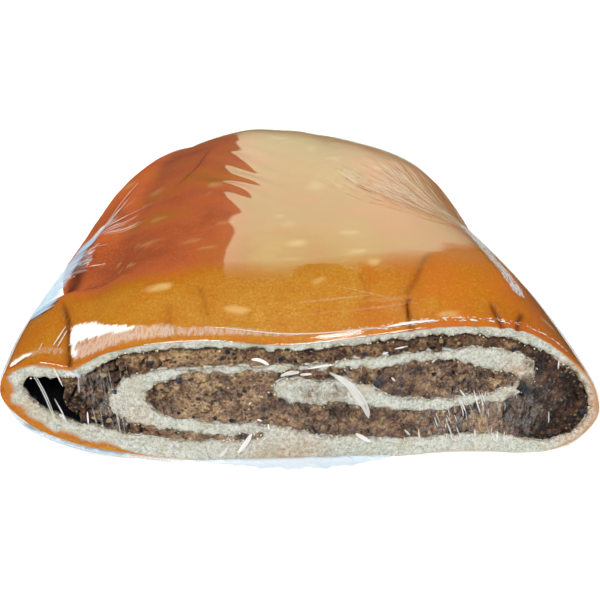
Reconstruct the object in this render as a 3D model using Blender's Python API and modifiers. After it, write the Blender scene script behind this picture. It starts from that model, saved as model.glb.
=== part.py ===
"""Half of a flat nut strudel in clear film, cut across at its -Y end and closed at its +Y end.

Lengths are in metres and +Z is up. A section is a list of x, z points, clockwise as seen from the cut,
and every section of the loaf is the cut section, reshaped by loaf_form at its distance behind the cut.
"""

import math

import bmesh
import bpy
import numpy as np

LOAF_LENGTH = 0.205
FILLING_LENGTH = 0.190
SOLID_GAP = 0.0003          # dough to filling, and dough to film
FILM_THICKNESS = 0.0003
FILM_RIM_HEIGHT = 0.0007    # the front sheet of film stops this far above the table
FILM_OPEN_HEIGHT = 0.0022   # no film lies under the loaf lower than this

# Outline of the cut from the seam under the loaf: x, z and the wall of dough inside it.
CUT_SECTION = [
    (-0.0135, -0.0002, 0.0068), (-0.0310, 0.0009, 0.0057), (-0.0460, 0.0036, 0.0060),
    (-0.0580, 0.0072, 0.0060), (-0.0673, 0.0132, 0.0058), (-0.0720, 0.0218, 0.0056),
    (-0.0698, 0.0276, 0.0046), (-0.0620, 0.0301, 0.0038), (-0.0550, 0.0290, 0.0032),
    (-0.0460, 0.0326, 0.0022), (-0.0260, 0.0350, 0.0022), (-0.0040, 0.0335, 0.0018),
    (0.0140, 0.0355, 0.0022), (0.0320, 0.0375, 0.0027), (0.0500, 0.0353, 0.0030),
    (0.0610, 0.0279, 0.0022), (0.0684, 0.0196, 0.0021), (0.0710, 0.0108, 0.0024),
    (0.0674, 0.0042, 0.0030), (0.0570, -0.0002, 0.0040), (0.0460, 0.0008, 0.0056),
    (0.0360, 0.0012, 0.0049), (0.0200, -0.0002, 0.0058), (0.0050, -0.0003, 0.0070),
]

# Edge of the dough that is rolled into the filling: x, z from its root up the inner side to the blunt tip,
# then back along the outer side.
ROLLED_ARM_EDGE = [
    (-0.0120, 0.0109), (-0.0220, 0.0116), (-0.0300, 0.0128), (-0.0355, 0.0150), (-0.0392, 0.0188),
    (-0.0380, 0.0216), (-0.0345, 0.0241), (-0.0290, 0.0257), (-0.0140, 0.0259), (0.0000, 0.0263),
    (0.0120, 0.0265), (0.0240, 0.0276), (0.0335, 0.0283), (0.0400, 0.0261), (0.0460, 0.0246),
    (0.0496, 0.0222), (0.0468, 0.0199), (0.0380, 0.0178), (0.0290, 0.0170), (0.0200, 0.0182),
    (0.0130, 0.0219), (0.0080, 0.0234), (0.0010, 0.0228), (-0.0050, 0.0239), (-0.0086, 0.0226),
    (-0.0084, 0.0186), (-0.0020, 0.0167), (0.0090, 0.0162), (0.0180, 0.0147), (0.0290, 0.0137),
    (0.0390, 0.0152), (0.0480, 0.0170), (0.0528, 0.0220), (0.0516, 0.0280), (0.0470, 0.0304),
    (0.0400, 0.0315), (0.0310, 0.0307), (0.0220, 0.0302), (0.0120, 0.0290), (0.0000, 0.0278),
    (-0.0140, 0.0275), (-0.0280, 0.0274), (-0.0360, 0.0267), (-0.0425, 0.0249), (-0.0470, 0.0210),
    (-0.0484, 0.0174), (-0.0448, 0.0136), (-0.0370, 0.0106), (-0.0270, 0.0085), (-0.0120, 0.0076),
]
ARM_ROOT_X = (-0.0120, 0.0020)   # the arm grows from the floor of the loaf between these
SHARPEST_MITRE = 0.35            # an offset corner reaches no further than the offset over this

# How the section changes behind the cut.
CROWN_RISE = 0.312               # share by which the middle is higher than at the cut
CROWN_RUN = 0.020
CROWN_HALF_WIDTH = 0.078
LEFT_BULGE = 0.015
LEFT_BULGE_RUN = 0.022
RIGHT_TAPER = 0.033
RIGHT_TAPER_RUN = 0.090
WAIST = 0.046                    # share by which the film draws the right side in
WAIST_Y = 0.069
WAIST_SPREAD = 0.026
BACK_FALL = 0.204                # the back right sinks by this share
BACK_FALL_Y = (0.100, 0.190)
BACK_FALL_X = (-0.020, 0.060)
# Hollows in the top of the cut that fill out behind it: x, half width, depth and the distance they take.
TOP_HOLLOWS = [(-0.0560, 0.0080, 0.0030, 0.026), (-0.0030, 0.0180, 0.0022, 0.045)]
HOLLOW_FROM_Z = (0.015, 0.028)   # they shape the top alone
TIP_HEIGHT = 0.0187              # where the closed end comes to its furthest point
LEFT_ROUND = (0.096, 2.97)       # start of the rounding towards the closed end, and its power
RIGHT_ROUND = (0.106, 2.06)
TOP_ROUND = (0.128, 2.90)

# The void between the layers at the left of the cut.
VOID_EDGE_X = -0.0556
VOID_MIDDLE_Z = 0.0195
VOID_DEPTH = 0.055
VOID_WIDTH_LEFT = 0.08           # share of its width and height that the filling keeps in the void
VOID_HEIGHT_LEFT = 0.80

# Creases in the crust that run back from the cut: x and distance behind it.
CREASES = [
    [(0.0228, -0.0020), (0.0225, 0.0047), (0.0235, 0.0090), (0.0262, 0.0147), (0.0290, 0.0196)],
    [(0.0134, 0.0050), (0.0132, 0.0090), (0.0120, 0.0150)],
    [(0.0434, -0.0020), (0.0431, 0.0035), (0.0412, 0.0090)],
    [(0.0478, 0.0010), (0.0486, 0.0035), (0.0508, 0.0060)],
    [(-0.0548, -0.0020), (-0.0556, 0.0056), (-0.0575, 0.0110), (-0.0600, 0.0160), (-0.0624, 0.0205)],
]
CREASE_RADIUS = 0.0009
CREASE_TIP_SHARE = 0.35          # of that radius, at the far end of a crease

POINTS_PER_ROW = 2
CROWN_STATIONS = 6
MIDDLE_STATIONS = 5
END_STATIONS = 10
INNER_STATION_STEP = 2
SHARP_ANGLE = math.radians(40)
CUTTER_REACH = 0.005             # a cutter starts this far in front of the cut
STATION_SPARE = 0.005            # no station comes closer than this to the end of the filling
WELD_DISTANCE = 0.00001

CRUST_COLOUR = (0.58, 0.27, 0.07, 1.0)
FILLING_COLOUR = (0.13, 0.08, 0.05, 1.0)
FILM_COLOUR = (0.90, 0.93, 0.96, 1.0)


def smooth_curve(rows, closed):
    """Cubic through the rows, each tangent weighted by the chords beside it, POINTS_PER_ROW to a chord."""
    rows = np.array(rows)
    count = len(rows)
    spans = count if closed else count - 1
    index = np.arange(-1, spans + 2)
    index = index % count if closed else np.clip(index, 0, count - 1)
    before, start, end, after = (rows[index[k:k + spans]] for k in range(4))

    def chord(a, b):
        return np.maximum(np.linalg.norm((b - a)[:, :2], axis=1), 1e-9)[:, None]

    lead, chord_length, trail = chord(before, start), chord(start, end), chord(end, after)
    start_slope = (start - before) * (chord_length / lead) ** 2 + (end - start)
    start_slope /= 1.0 + chord_length / lead
    end_slope = (after - end) * (chord_length / trail) ** 2 + (end - start)
    end_slope /= 1.0 + chord_length / trail
    if not closed:
        start_slope[0] = end[0] - start[0]
        end_slope[-1] = end[-1] - start[-1]
    pieces = []
    for step in range(POINTS_PER_ROW):
        u = step / POINTS_PER_ROW
        pieces.append(
            (2 * u**3 - 3 * u**2 + 1) * start
            + (u**3 - 2 * u**2 + u) * start_slope
            + (3 * u**2 - 2 * u**3) * end
            + (u**3 - u**2) * end_slope
        )
    curve = np.stack(pieces, axis=1).reshape(-1, rows.shape[1])
    return curve if closed else np.vstack([curve, rows[-1:]])


def inset(points, distance):
    """The closed outline with each side moved to its right by the distance, and mitred corners."""
    side = np.roll(points, -1, axis=0) - points
    side /= np.linalg.norm(side, axis=1)[:, None]
    after = np.stack([side[:, 1], -side[:, 0]], axis=1)
    before = np.roll(after, 1, axis=0)
    corner = before + after
    corner /= np.linalg.norm(corner, axis=1)[:, None]
    reach = 1 / np.maximum(np.sum(corner * after, axis=1), SHARPEST_MITRE)
    return points + corner * (distance * reach)[:, None]


def loaf_outline():
    """Outline of the cut with a flat foot, and the wall of dough at each point."""
    curve = smooth_curve(CUT_SECTION, closed=True)
    outline, wall = curve[:, :2], curve[:, 2]
    outline[:, 1] = np.maximum(outline[:, 1], 0.0)
    return outline, wall


def filling_section(clearance):
    """The spiral between the wall and the rolled arm of dough, smaller by the clearance all round."""
    outline, wall = loaf_outline()
    inner = inset(outline, wall)
    low = inner[:, 1] < np.mean(inner[:, 1])
    under_root = low & (inner[:, 0] > ARM_ROOT_X[0]) & (inner[:, 0] < ARM_ROOT_X[1])
    first = np.flatnonzero(under_root & ~np.roll(under_root, 1))[0]
    ring = np.roll(inner, -first, axis=0)[np.count_nonzero(under_root):]
    spiral = np.vstack([ring, smooth_curve(ROLLED_ARM_EDGE, closed=False)])
    return inset(spiral, np.full(len(spiral), clearance))


def smooth_step(value, low, high):
    share = np.clip((value - low) / (high - low), 0.0, 1.0)
    return share * share * (3 - 2 * share)


def rounding(y, start_and_power):
    """Superellipse: 1 up to its start, then down to 0 at the closed end."""
    start, power = start_and_power
    share = np.clip((y - start) / (LOAF_LENGTH - start), 0.0, 1.0)
    return (1 - share**power) ** (1 / power)


def loaf_form(section, y):
    """The section's points as they lie at distance y behind the cut."""
    x, z = section[:, 0], section[:, 1]
    left = 1 + LEFT_BULGE * math.sin(min(max(y / LEFT_BULGE_RUN, 0.0), 1.0) * math.pi / 2)
    right = 1 - RIGHT_TAPER * smooth_step(y, 0.0, RIGHT_TAPER_RUN)
    right -= WAIST * math.exp(-(((y - WAIST_Y) / WAIST_SPREAD) ** 2))
    width = np.where(x < 0, left * rounding(y, LEFT_ROUND), right * rounding(y, RIGHT_ROUND))
    crown = np.clip(1 - (x / CROWN_HALF_WIDTH) ** 2, 0.0, 1.0)
    height = 1 + CROWN_RISE * crown * math.sin(min(max(y / CROWN_RUN, 0.0), 1.0) * math.pi / 2)
    height *= 1 - BACK_FALL * smooth_step(y, *BACK_FALL_Y) * smooth_step(x, *BACK_FALL_X)
    end = rounding(y, TOP_ROUND)
    raised = z * height
    for middle, half_width, depth, run in TOP_HOLLOWS:
        swell = np.exp(-(((x - middle) / half_width) ** 2)) * smooth_step(z, *HOLLOW_FROM_Z)
        raised = raised + depth * swell * smooth_step(y, 0.0, run)
    return np.stack([x * width, np.full_like(x, y), TIP_HEIGHT * (1 - end) + raised * end], axis=1)


def stations():
    """Distances behind the cut: close together over the crown's rise and towards the closed end."""
    crown = CROWN_RUN * (1 - np.cos(np.linspace(0, math.pi / 2, CROWN_STATIONS)))
    turn = TOP_ROUND[0]
    middle = np.linspace(CROWN_RUN, turn, MIDDLE_STATIONS + 1)[1:]
    end = turn + (LOAF_LENGTH - turn) * np.sin(np.linspace(0, math.pi / 2, END_STATIONS))
    return np.concatenate([crown, middle, end[1:]])


def join_rings(rings):
    """Triangles between neighbouring rings of equal count, facing out from a clockwise section.

    All rings are split along the same diagonals, so that lofts which lie inside each other stay apart.
    """
    count = len(rings[0])
    faces = []
    for ring in range(len(rings) - 1):
        here, there = ring * count, (ring + 1) * count
        for point in range(count):
            after = (point + 1) % count
            faces.append((here + point, here + after, there + after))
            faces.append((here + point, there + after, there + point))
    return faces


def add_mesh(name, vertices, faces, collection, material=None):
    mesh = bpy.data.meshes.new(name)
    mesh.from_pydata([tuple(vertex) for vertex in vertices], [], faces)
    mesh.shade_smooth()
    mesh.set_sharp_from_angle(angle=SHARP_ANGLE)
    new_object = bpy.data.objects.new(name, mesh)
    collection.objects.link(new_object)
    if material:
        mesh.materials.append(material)
    return new_object


def add_loft(name, rings, collection, material=None, tip=None):
    """A closed loft: a flat face on the first ring, and a flat face or a point on the last."""
    count, last = len(rings[0]), (len(rings) - 1) * len(rings[0])
    vertices = np.vstack(rings)
    faces = join_rings(rings) + [tuple(reversed(range(count)))]
    if tip is None:
        faces.append(tuple(range(last, last + count)))
    else:
        vertices = np.vstack([vertices, [tip]])
        faces += [(last + k, last + (k + 1) % count, last + count) for k in range(count)]
    return add_mesh(name, vertices, faces, collection, material)


def inner_stations(length):
    """Every second station of the loaf, up to the length given."""
    kept = stations()[::INNER_STATION_STEP]
    return np.append(kept[kept < length - STATION_SPARE], length)


def squeeze_void(section, y):
    """Leaves the void open: what lies beyond its edge is drawn in to that edge, less so the deeper it is."""
    closed = smooth_step(y, 0.0, VOID_DEPTH)
    edge = np.array([VOID_EDGE_X, VOID_MIDDLE_Z])
    kept = np.array([VOID_WIDTH_LEFT, VOID_HEIGHT_LEFT])
    drawn = edge + (section - edge) * (kept + (1 - kept) * closed)
    return np.where(section[:, :1] < VOID_EDGE_X, drawn, section)


def hide_cutter(cutter):
    cutter.hide_render = True
    cutter.display_type = "WIRE"


def crown_height(x, y):
    """Height of the crust over x at distance y behind the cut."""
    ring = loaf_form(loaf_outline()[0], y)
    left, right = np.argmin(ring[:, 0]), np.argmax(ring[:, 0])
    over = ring[left:right + 1]
    return float(np.interp(x, over[:, 0], over[:, 2]))


def add_crease(number, track, collection):
    """A thin spindle along the crust, which cuts one crease."""
    curve = bpy.data.curves.new(f"crease_{number}", "CURVE")
    curve.dimensions = "3D"
    curve.bevel_depth = CREASE_RADIUS
    curve.bevel_resolution = 1
    curve.use_fill_caps = True
    spline = curve.splines.new("POLY")
    spline.points.add(len(track) - 1)
    for point, (x, y) in zip(spline.points, track):
        point.co = (x, y, crown_height(x, max(y, 0.0)), 1.0)
    spline.points[-1].radius = CREASE_TIP_SHARE
    tube = bpy.data.objects.new(curve.name, curve)
    collection.objects.link(tube)
    evaluated = tube.evaluated_get(bpy.context.evaluated_depsgraph_get())
    mesh = bpy.data.meshes.new_from_object(evaluated)
    work = bmesh.new()
    work.from_mesh(mesh)
    bmesh.ops.remove_doubles(work, verts=work.verts, dist=WELD_DISTANCE)
    work.to_mesh(mesh)
    work.free()
    cutter = bpy.data.objects.new(curve.name, mesh)
    cutter.matrix_world = tube.matrix_world.copy()
    bpy.data.objects.remove(tube)
    collection.objects.link(cutter)
    hide_cutter(cutter)


def add_dough(parts, cutters, material):
    """The baked dough: the whole loaf less the spiral that the filling takes, and less the creases."""
    outline, _ = loaf_outline()
    rings = [loaf_form(outline, y) for y in stations()[:-1]]
    dough = add_loft("dough", rings, parts, material, tip=(0.0, LOAF_LENGTH, TIP_HEIGHT))

    spiral = filling_section(0.0)
    depths = inner_stations(FILLING_LENGTH + SOLID_GAP)
    rings = [loaf_form(spiral, y) for y in np.append(-CUTTER_REACH, depths)]
    room = add_loft("filling_room", rings, cutters)
    hide_cutter(room)
    creases = bpy.data.collections.new("crease_cutters")
    cutters.children.link(creases)
    for number, track in enumerate(CREASES):
        add_crease(number, track, creases)

    room_cut = dough.modifiers.new("filling room", "BOOLEAN")
    room_cut.operation = "DIFFERENCE"
    room_cut.solver = "EXACT"
    room_cut.object = room
    crease_cut = dough.modifiers.new("creases", "BOOLEAN")
    crease_cut.operation = "DIFFERENCE"
    crease_cut.solver = "EXACT"
    crease_cut.operand_type = "COLLECTION"
    crease_cut.collection = creases


def add_filling(parts, material):
    """The nut filling that is rolled into the dough, with the void left open at the cut."""
    spiral = filling_section(SOLID_GAP)
    rings = [loaf_form(squeeze_void(spiral, y), y) for y in inner_stations(FILLING_LENGTH)]
    add_loft("nut_filling", rings, parts, material)


def add_film(parts, material):
    """Clear film drawn tight over the cut, the top, the sides and the closed end, and open below."""
    outline, _ = loaf_outline()
    rings = np.array([loaf_form(outline, y) for y in stations()[:-1]])
    tip = np.array([0.0, LOAF_LENGTH, TIP_HEIGHT])
    along = np.roll(rings, -1, axis=1) - np.roll(rings, 1, axis=1)
    back = np.gradient(rings, axis=0)
    back[-1] += tip - rings[-1]
    out = np.cross(along, back)
    out /= np.linalg.norm(out, axis=2)[:, :, None]
    rings = rings + out * SOLID_GAP
    rings[0, :, 1] = -SOLID_GAP
    rings[0, :, 2] = np.maximum(rings[0, :, 2], FILM_RIM_HEIGHT)

    ring_count, count = rings.shape[:2]
    centre = (0.0, -SOLID_GAP, float(np.mean(rings[0, :, 2])))
    vertices = np.vstack([rings.reshape(-1, 3), [tip + (0.0, SOLID_GAP, 0.0)], [centre]])
    tip_index, centre_index = ring_count * count, ring_count * count + 1
    last = (ring_count - 1) * count
    faces = join_rings(list(rings))
    faces += [(last + k, last + (k + 1) % count, tip_index) for k in range(count)]
    faces = [face for face in faces if np.mean(vertices[list(face), 2]) > FILM_OPEN_HEIGHT]
    faces += [(centre_index, (k + 1) % count, k) for k in range(count)]
    film = add_mesh("film", vertices, faces, parts, material)
    drop_loose_vertices(film.data)
    wall = film.modifiers.new("thickness", "SOLIDIFY")
    wall.thickness = FILM_THICKNESS
    wall.offset = 1.0


def drop_loose_vertices(mesh):
    work = bmesh.new()
    work.from_mesh(mesh)
    loose = [vertex for vertex in work.verts if not vertex.link_faces]
    bmesh.ops.delete(work, geom=loose, context="VERTS")
    work.to_mesh(mesh)
    work.free()


def add_material(name, colour, roughness, transmission=0.0):
    material = bpy.data.materials.new(name)
    material.use_nodes = True
    surface = material.node_tree.nodes["Principled BSDF"]
    surface.inputs["Base Color"].default_value = colour
    surface.inputs["Roughness"].default_value = roughness
    surface.inputs["Metallic"].default_value = 0.0
    surface.inputs["Transmission Weight"].default_value = transmission
    return material


def stand_on_origin(parts, cutters):
    """Carries every piece and cutter on one empty, placed so that the whole stands centred on the origin."""
    bpy.context.view_layer.update()
    depsgraph = bpy.context.evaluated_depsgraph_get()
    corners = []
    for piece in parts.objects:
        mesh = piece.evaluated_get(depsgraph).to_mesh()
        corners += [vertex.co[:] for vertex in mesh.vertices]
    low, high = np.min(corners, axis=0), np.max(corners, axis=0)
    stand = bpy.data.objects.new("strudel", None)
    for piece in list(parts.all_objects) + list(cutters.all_objects):
        piece.parent = stand
    parts.objects.link(stand)
    stand.location = (-(low[0] + high[0]) / 2, -(low[1] + high[1]) / 2, -low[2])


def main():
    for old in list(bpy.data.objects):
        bpy.data.objects.remove(old)
    parts = bpy.data.collections.new("nut_strudel")
    cutters = bpy.data.collections.new("cutters")
    bpy.context.scene.collection.children.link(parts)
    bpy.context.scene.collection.children.link(cutters)
    add_dough(parts, cutters, add_material("baked crust", CRUST_COLOUR, 0.45))
    add_filling(parts, add_material("nut filling", FILLING_COLOUR, 0.80))
    add_film(parts, add_material("stretch film", FILM_COLOUR, 0.10, transmission=1.0))
    stand_on_origin(parts, cutters)


main()
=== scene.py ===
import math

import bmesh
import bpy
import numpy as np
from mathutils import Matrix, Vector
from mathutils.geometry import delaunay_2d_cdt


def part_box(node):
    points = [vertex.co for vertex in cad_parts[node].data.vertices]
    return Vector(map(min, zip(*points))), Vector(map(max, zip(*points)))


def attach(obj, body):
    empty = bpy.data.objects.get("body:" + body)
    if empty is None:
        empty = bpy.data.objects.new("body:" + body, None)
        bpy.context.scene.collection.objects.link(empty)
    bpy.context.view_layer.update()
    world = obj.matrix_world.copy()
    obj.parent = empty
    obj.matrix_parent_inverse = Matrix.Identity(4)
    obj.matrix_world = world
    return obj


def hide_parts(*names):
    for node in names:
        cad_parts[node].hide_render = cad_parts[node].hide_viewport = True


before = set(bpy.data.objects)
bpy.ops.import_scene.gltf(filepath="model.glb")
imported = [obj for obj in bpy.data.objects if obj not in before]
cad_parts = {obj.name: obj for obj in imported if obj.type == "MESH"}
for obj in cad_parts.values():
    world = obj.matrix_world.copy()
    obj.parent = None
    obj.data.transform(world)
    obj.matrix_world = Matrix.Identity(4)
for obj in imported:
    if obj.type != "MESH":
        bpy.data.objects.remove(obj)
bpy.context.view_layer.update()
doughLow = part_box("dough")[0]
print("frame loaded")

mm = 0.001

# Outline of the cut from the seam under the loaf: x, z and the wall of dough inside it.
cutSection = np.array([
    (-0.0135, -0.0002, 0.0068), (-0.0310, 0.0009, 0.0057), (-0.0460, 0.0036, 0.0060),
    (-0.0580, 0.0072, 0.0060), (-0.0673, 0.0132, 0.0058), (-0.0720, 0.0218, 0.0056),
    (-0.0698, 0.0276, 0.0046), (-0.0620, 0.0301, 0.0038), (-0.0550, 0.0290, 0.0032),
    (-0.0460, 0.0326, 0.0022), (-0.0260, 0.0350, 0.0022), (-0.0040, 0.0335, 0.0018),
    (0.0140, 0.0355, 0.0022), (0.0320, 0.0375, 0.0027), (0.0500, 0.0353, 0.0030),
    (0.0610, 0.0279, 0.0022), (0.0684, 0.0196, 0.0021), (0.0710, 0.0108, 0.0024),
    (0.0674, 0.0042, 0.0030), (0.0570, -0.0002, 0.0040), (0.0460, 0.0008, 0.0056),
    (0.0360, 0.0012, 0.0049), (0.0200, -0.0002, 0.0058), (0.0050, -0.0003, 0.0070),
])

# Edge of the dough that is rolled into the filling: up its inner side to the tip and back along the outer.
armEdge = np.array([
    (-0.0120, 0.0109), (-0.0220, 0.0116), (-0.0300, 0.0128), (-0.0355, 0.0150), (-0.0392, 0.0188),
    (-0.0380, 0.0216), (-0.0345, 0.0241), (-0.0290, 0.0257), (-0.0140, 0.0259), (0.0000, 0.0263),
    (0.0120, 0.0265), (0.0240, 0.0276), (0.0335, 0.0283), (0.0400, 0.0261), (0.0460, 0.0246),
    (0.0496, 0.0222), (0.0468, 0.0199), (0.0380, 0.0178), (0.0290, 0.0170), (0.0200, 0.0182),
    (0.0130, 0.0219), (0.0080, 0.0234), (0.0010, 0.0228), (-0.0050, 0.0239), (-0.0086, 0.0226),
    (-0.0084, 0.0186), (-0.0020, 0.0167), (0.0090, 0.0162), (0.0180, 0.0147), (0.0290, 0.0137),
    (0.0390, 0.0152), (0.0480, 0.0170), (0.0528, 0.0220), (0.0516, 0.0280), (0.0470, 0.0304),
    (0.0400, 0.0315), (0.0310, 0.0307), (0.0220, 0.0302), (0.0120, 0.0290), (0.0000, 0.0278),
    (-0.0140, 0.0275), (-0.0280, 0.0274), (-0.0360, 0.0267), (-0.0425, 0.0249), (-0.0470, 0.0210),
    (-0.0484, 0.0174), (-0.0448, 0.0136), (-0.0370, 0.0106), (-0.0270, 0.0085), (-0.0120, 0.0076),
])

loaf = dict(
    length=0.205, armRoot=(-0.0120, 0.0020), sharpestMitre=0.35,
    crownRise=0.312, crownRun=0.020, crownHalfWidth=0.078,
    leftBulge=0.015, leftBulgeRun=0.022, rightTaper=0.033, rightTaperRun=0.090,
    waist=0.046, waistAt=0.069, waistSpread=0.026,
    backFall=0.204, backFallFrom=(0.100, 0.190), backFallAcross=(-0.020, 0.060),
    hollows=[(-0.0560, 0.0080, 0.0030, 0.026), (-0.0030, 0.0180, 0.0022, 0.045)], hollowFrom=(0.015, 0.028),
    tipHeight=0.0187, leftRound=(0.096, 2.97), rightRound=(0.106, 2.06), topRound=(0.128, 2.90),
    voidEdge=(-0.0556, 0.0195), voidDepth=0.055, voidKept=(0.08, 0.80),
    # how far back the relief of the cut's edge carries along the walls behind it, and how far apart the
    # points of their closed ends are
    reliefRun=0.008, endSpacing=0.006,
)

# The loaf's own x and y run from the middle of the cut; this is where that lies in the part's frame.
place = np.array([doughLow[0] - np.min(cutSection[:, 0]) * (1 + loaf["leftBulge"]), doughLow[1], 0.0])


def smoothStep(value, low, high):
    share = np.clip((value - low) / (high - low), 0.0, 1.0)
    return share * share * (3 - 2 * share)


# Up from 0 to 1 between the first two values and down again between the last two.
def window(value, rows):
    return smoothStep(value, rows[0], rows[1]) * (1 - smoothStep(value, rows[2], rows[3]))


# Bell curve: 1 at no distance, and e to the power of -1 at the width.
def bell(distance, width):
    return np.exp(-((distance / width) ** 2))


# Cubic through the rows, each tangent weighted by the chords beside it, with this many points to a chord.
def smoothCurve(rows, closed, perRow):
    count = len(rows)
    spans = count if closed else count - 1
    index = np.arange(-1, spans + 2)
    index = index % count if closed else np.clip(index, 0, count - 1)
    before, start, end, after = (rows[index[k:k + spans]] for k in range(4))

    def chord(a, b):
        return np.maximum(np.linalg.norm((b - a)[:, :2], axis=1), 1e-9)[:, None]

    lead, chordLength, trail = chord(before, start), chord(start, end), chord(end, after)
    startSlope = ((start - before) * (chordLength / lead) ** 2 + (end - start)) / (1 + chordLength / lead)
    endSlope = ((after - end) * (chordLength / trail) ** 2 + (end - start)) / (1 + chordLength / trail)
    if not closed:
        startSlope[0] = end[0] - start[0]
        endSlope[-1] = end[-1] - start[-1]
    u = (np.arange(perRow) / perRow)[None, :, None]
    curve = ((2 * u**3 - 3 * u**2 + 1) * start[:, None] + (u**3 - 2 * u**2 + u) * startSlope[:, None]
             + (3 * u**2 - 2 * u**3) * end[:, None] + (u**3 - u**2) * endSlope[:, None])
    curve = curve.reshape(-1, rows.shape[1])
    return curve if closed else np.vstack([curve, rows[-1:]])


# A closed curve's points again, as far apart as the spacing there says: equal steps of length over spacing.
def respace(curve, spacing):
    loop = np.vstack([curve, curve[:1]])
    step = np.linalg.norm(np.diff(loop[:, :2], axis=0), axis=1)
    local = (spacing + np.roll(spacing, -1)) / 2
    along = np.concatenate([[0.0], np.cumsum(step / local)])
    count = int(round(along[-1]))
    at = np.arange(count) * along[-1] / count
    return np.stack([np.interp(at, along, loop[:, k]) for k in range(loop.shape[1])], axis=1)


# The way out of a clockwise outline at each point: a unit step left of the chord between its neighbours.
def outward(points):
    chord = np.roll(points, -1, axis=0) - np.roll(points, 1, axis=0)
    normal = np.stack([-chord[:, 1], chord[:, 0]], axis=1)
    return normal / np.linalg.norm(normal, axis=1)[:, None]


# The outline with each side moved to its right by the distance, and mitred corners.
def inset(points, distance):
    side = np.roll(points, -1, axis=0) - points
    side /= np.linalg.norm(side, axis=1)[:, None]
    after = np.stack([side[:, 1], -side[:, 0]], axis=1)
    corner = np.roll(after, 1, axis=0) + after
    corner /= np.linalg.norm(corner, axis=1)[:, None]
    reach = 1 / np.maximum(np.sum(corner * after, axis=1), loaf["sharpestMitre"])
    return points + corner * (distance * reach)[:, None]


# The cut's outline with this many points to a chord, and the wall of dough inside each.
def loafOutline(perRow):
    curve = smoothCurve(cutSection, True, perRow)
    curve[:, 1] = np.maximum(curve[:, 1], 0.0)
    return curve[:, :2], curve[:, 2]


# Points of the outline for a loft, fine over the top and coarse along the foot.
def loftRing(look):
    outline = loafOutline(40)[0]
    onFoot = (outline[:, 1] < 0.4 * mm) & (np.abs(outline[:, 0]) < look["footHalf"])
    return respace(outline, np.where(onFoot, look["footSpacing"], look["topSpacing"]))


# The spiral that the filling takes: the outline less its wall, opened at the arm's root and led round it.
def fillingSection():
    outline, wall = loafOutline(2)
    inner = inset(outline, wall)
    low = inner[:, 1] < np.mean(inner[:, 1])
    underRoot = low & (inner[:, 0] > loaf["armRoot"][0]) & (inner[:, 0] < loaf["armRoot"][1])
    first = np.flatnonzero(underRoot & ~np.roll(underRoot, 1))[0]
    ring = np.roll(inner, -first, axis=0)[np.count_nonzero(underRoot):]
    return smoothCurve(np.vstack([ring, smoothCurve(armEdge, False, 2)]), True, 6)


# Superellipse: 1 up to its start, then down to 0 at the closed end.
def rounding(y, start, power):
    share = np.clip((y - start) / (loaf["length"] - start), 0.0, 1.0)
    return (1 - share**power) ** (1 / power)


# A point of the section at distance y behind the cut: x is drawn in by its side's width there, and z is
# raised by the crown, filled out over the hollows and drawn to the tip's height by the rounding of the
# closed end.
def loafForm(x, z, y):
    x, z, y = np.broadcast_arrays(x, z, y)
    left = 1 + loaf["leftBulge"] * np.sin(np.clip(y / loaf["leftBulgeRun"], 0, 1) * np.pi / 2)
    right = 1 - loaf["rightTaper"] * smoothStep(y, 0.0, loaf["rightTaperRun"])
    right = right - loaf["waist"] * bell(y - loaf["waistAt"], loaf["waistSpread"])
    width = np.where(x < 0, left * rounding(y, *loaf["leftRound"]), right * rounding(y, *loaf["rightRound"]))
    crown = np.clip(1 - (x / loaf["crownHalfWidth"]) ** 2, 0.0, 1.0)
    height = 1 + loaf["crownRise"] * crown * np.sin(np.clip(y / loaf["crownRun"], 0, 1) * np.pi / 2)
    height = height * (1 - loaf["backFall"] * smoothStep(y, *loaf["backFallFrom"])
                       * smoothStep(x, *loaf["backFallAcross"]))
    raised = z * height
    for middle, halfWidth, depth, run in loaf["hollows"]:
        swell = bell(x - middle, halfWidth) * smoothStep(z, *loaf["hollowFrom"])
        raised = raised + depth * swell * smoothStep(y, 0.0, run)
    end = rounding(y, *loaf["topRound"])
    return np.stack([x * width, y, loaf["tipHeight"] * (1 - end) + raised * end], axis=-1)


# Smooth noise from -1 to 1: random heights on a lattice of this spacing, which repeats after 32 steps,
# blended by a cubic step between its nodes.
def valueNoise(points, size, seed):
    period = 32
    table = np.random.default_rng(seed).uniform(-1, 1, (period, period, period))
    cell = np.asarray(points) / size
    base = np.floor(cell).astype(int)
    share = cell - base
    share = share * share * (3 - 2 * share)
    total = np.zeros(cell.shape[:-1])
    for corner in np.ndindex(2, 2, 2):
        weight = np.prod(np.where(np.array(corner) == 1, share, 1 - share), axis=-1)
        i, j, k = np.moveaxis((base + corner) % period, -1, 0)
        total = total + weight * table[i, j, k]
    return total


# Distances to the nearest two of scattered points, one in each square of this size, measured in squares.
def cellNoise(points, size, seed):
    period = 64
    table = np.random.default_rng(seed).uniform(0.1, 0.9, (period, period, 2))
    cell = np.asarray(points) / size
    base = np.floor(cell).astype(int)
    gaps = []
    for i in (-1, 0, 1):
        for j in (-1, 0, 1):
            square = base + (i, j)
            spot = square + table[square[:, 0] % period, square[:, 1] % period]
            gaps.append(np.linalg.norm(spot - cell, axis=1))
    gaps = np.sort(np.stack(gaps), axis=0)
    return gaps[0], gaps[1]


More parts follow.
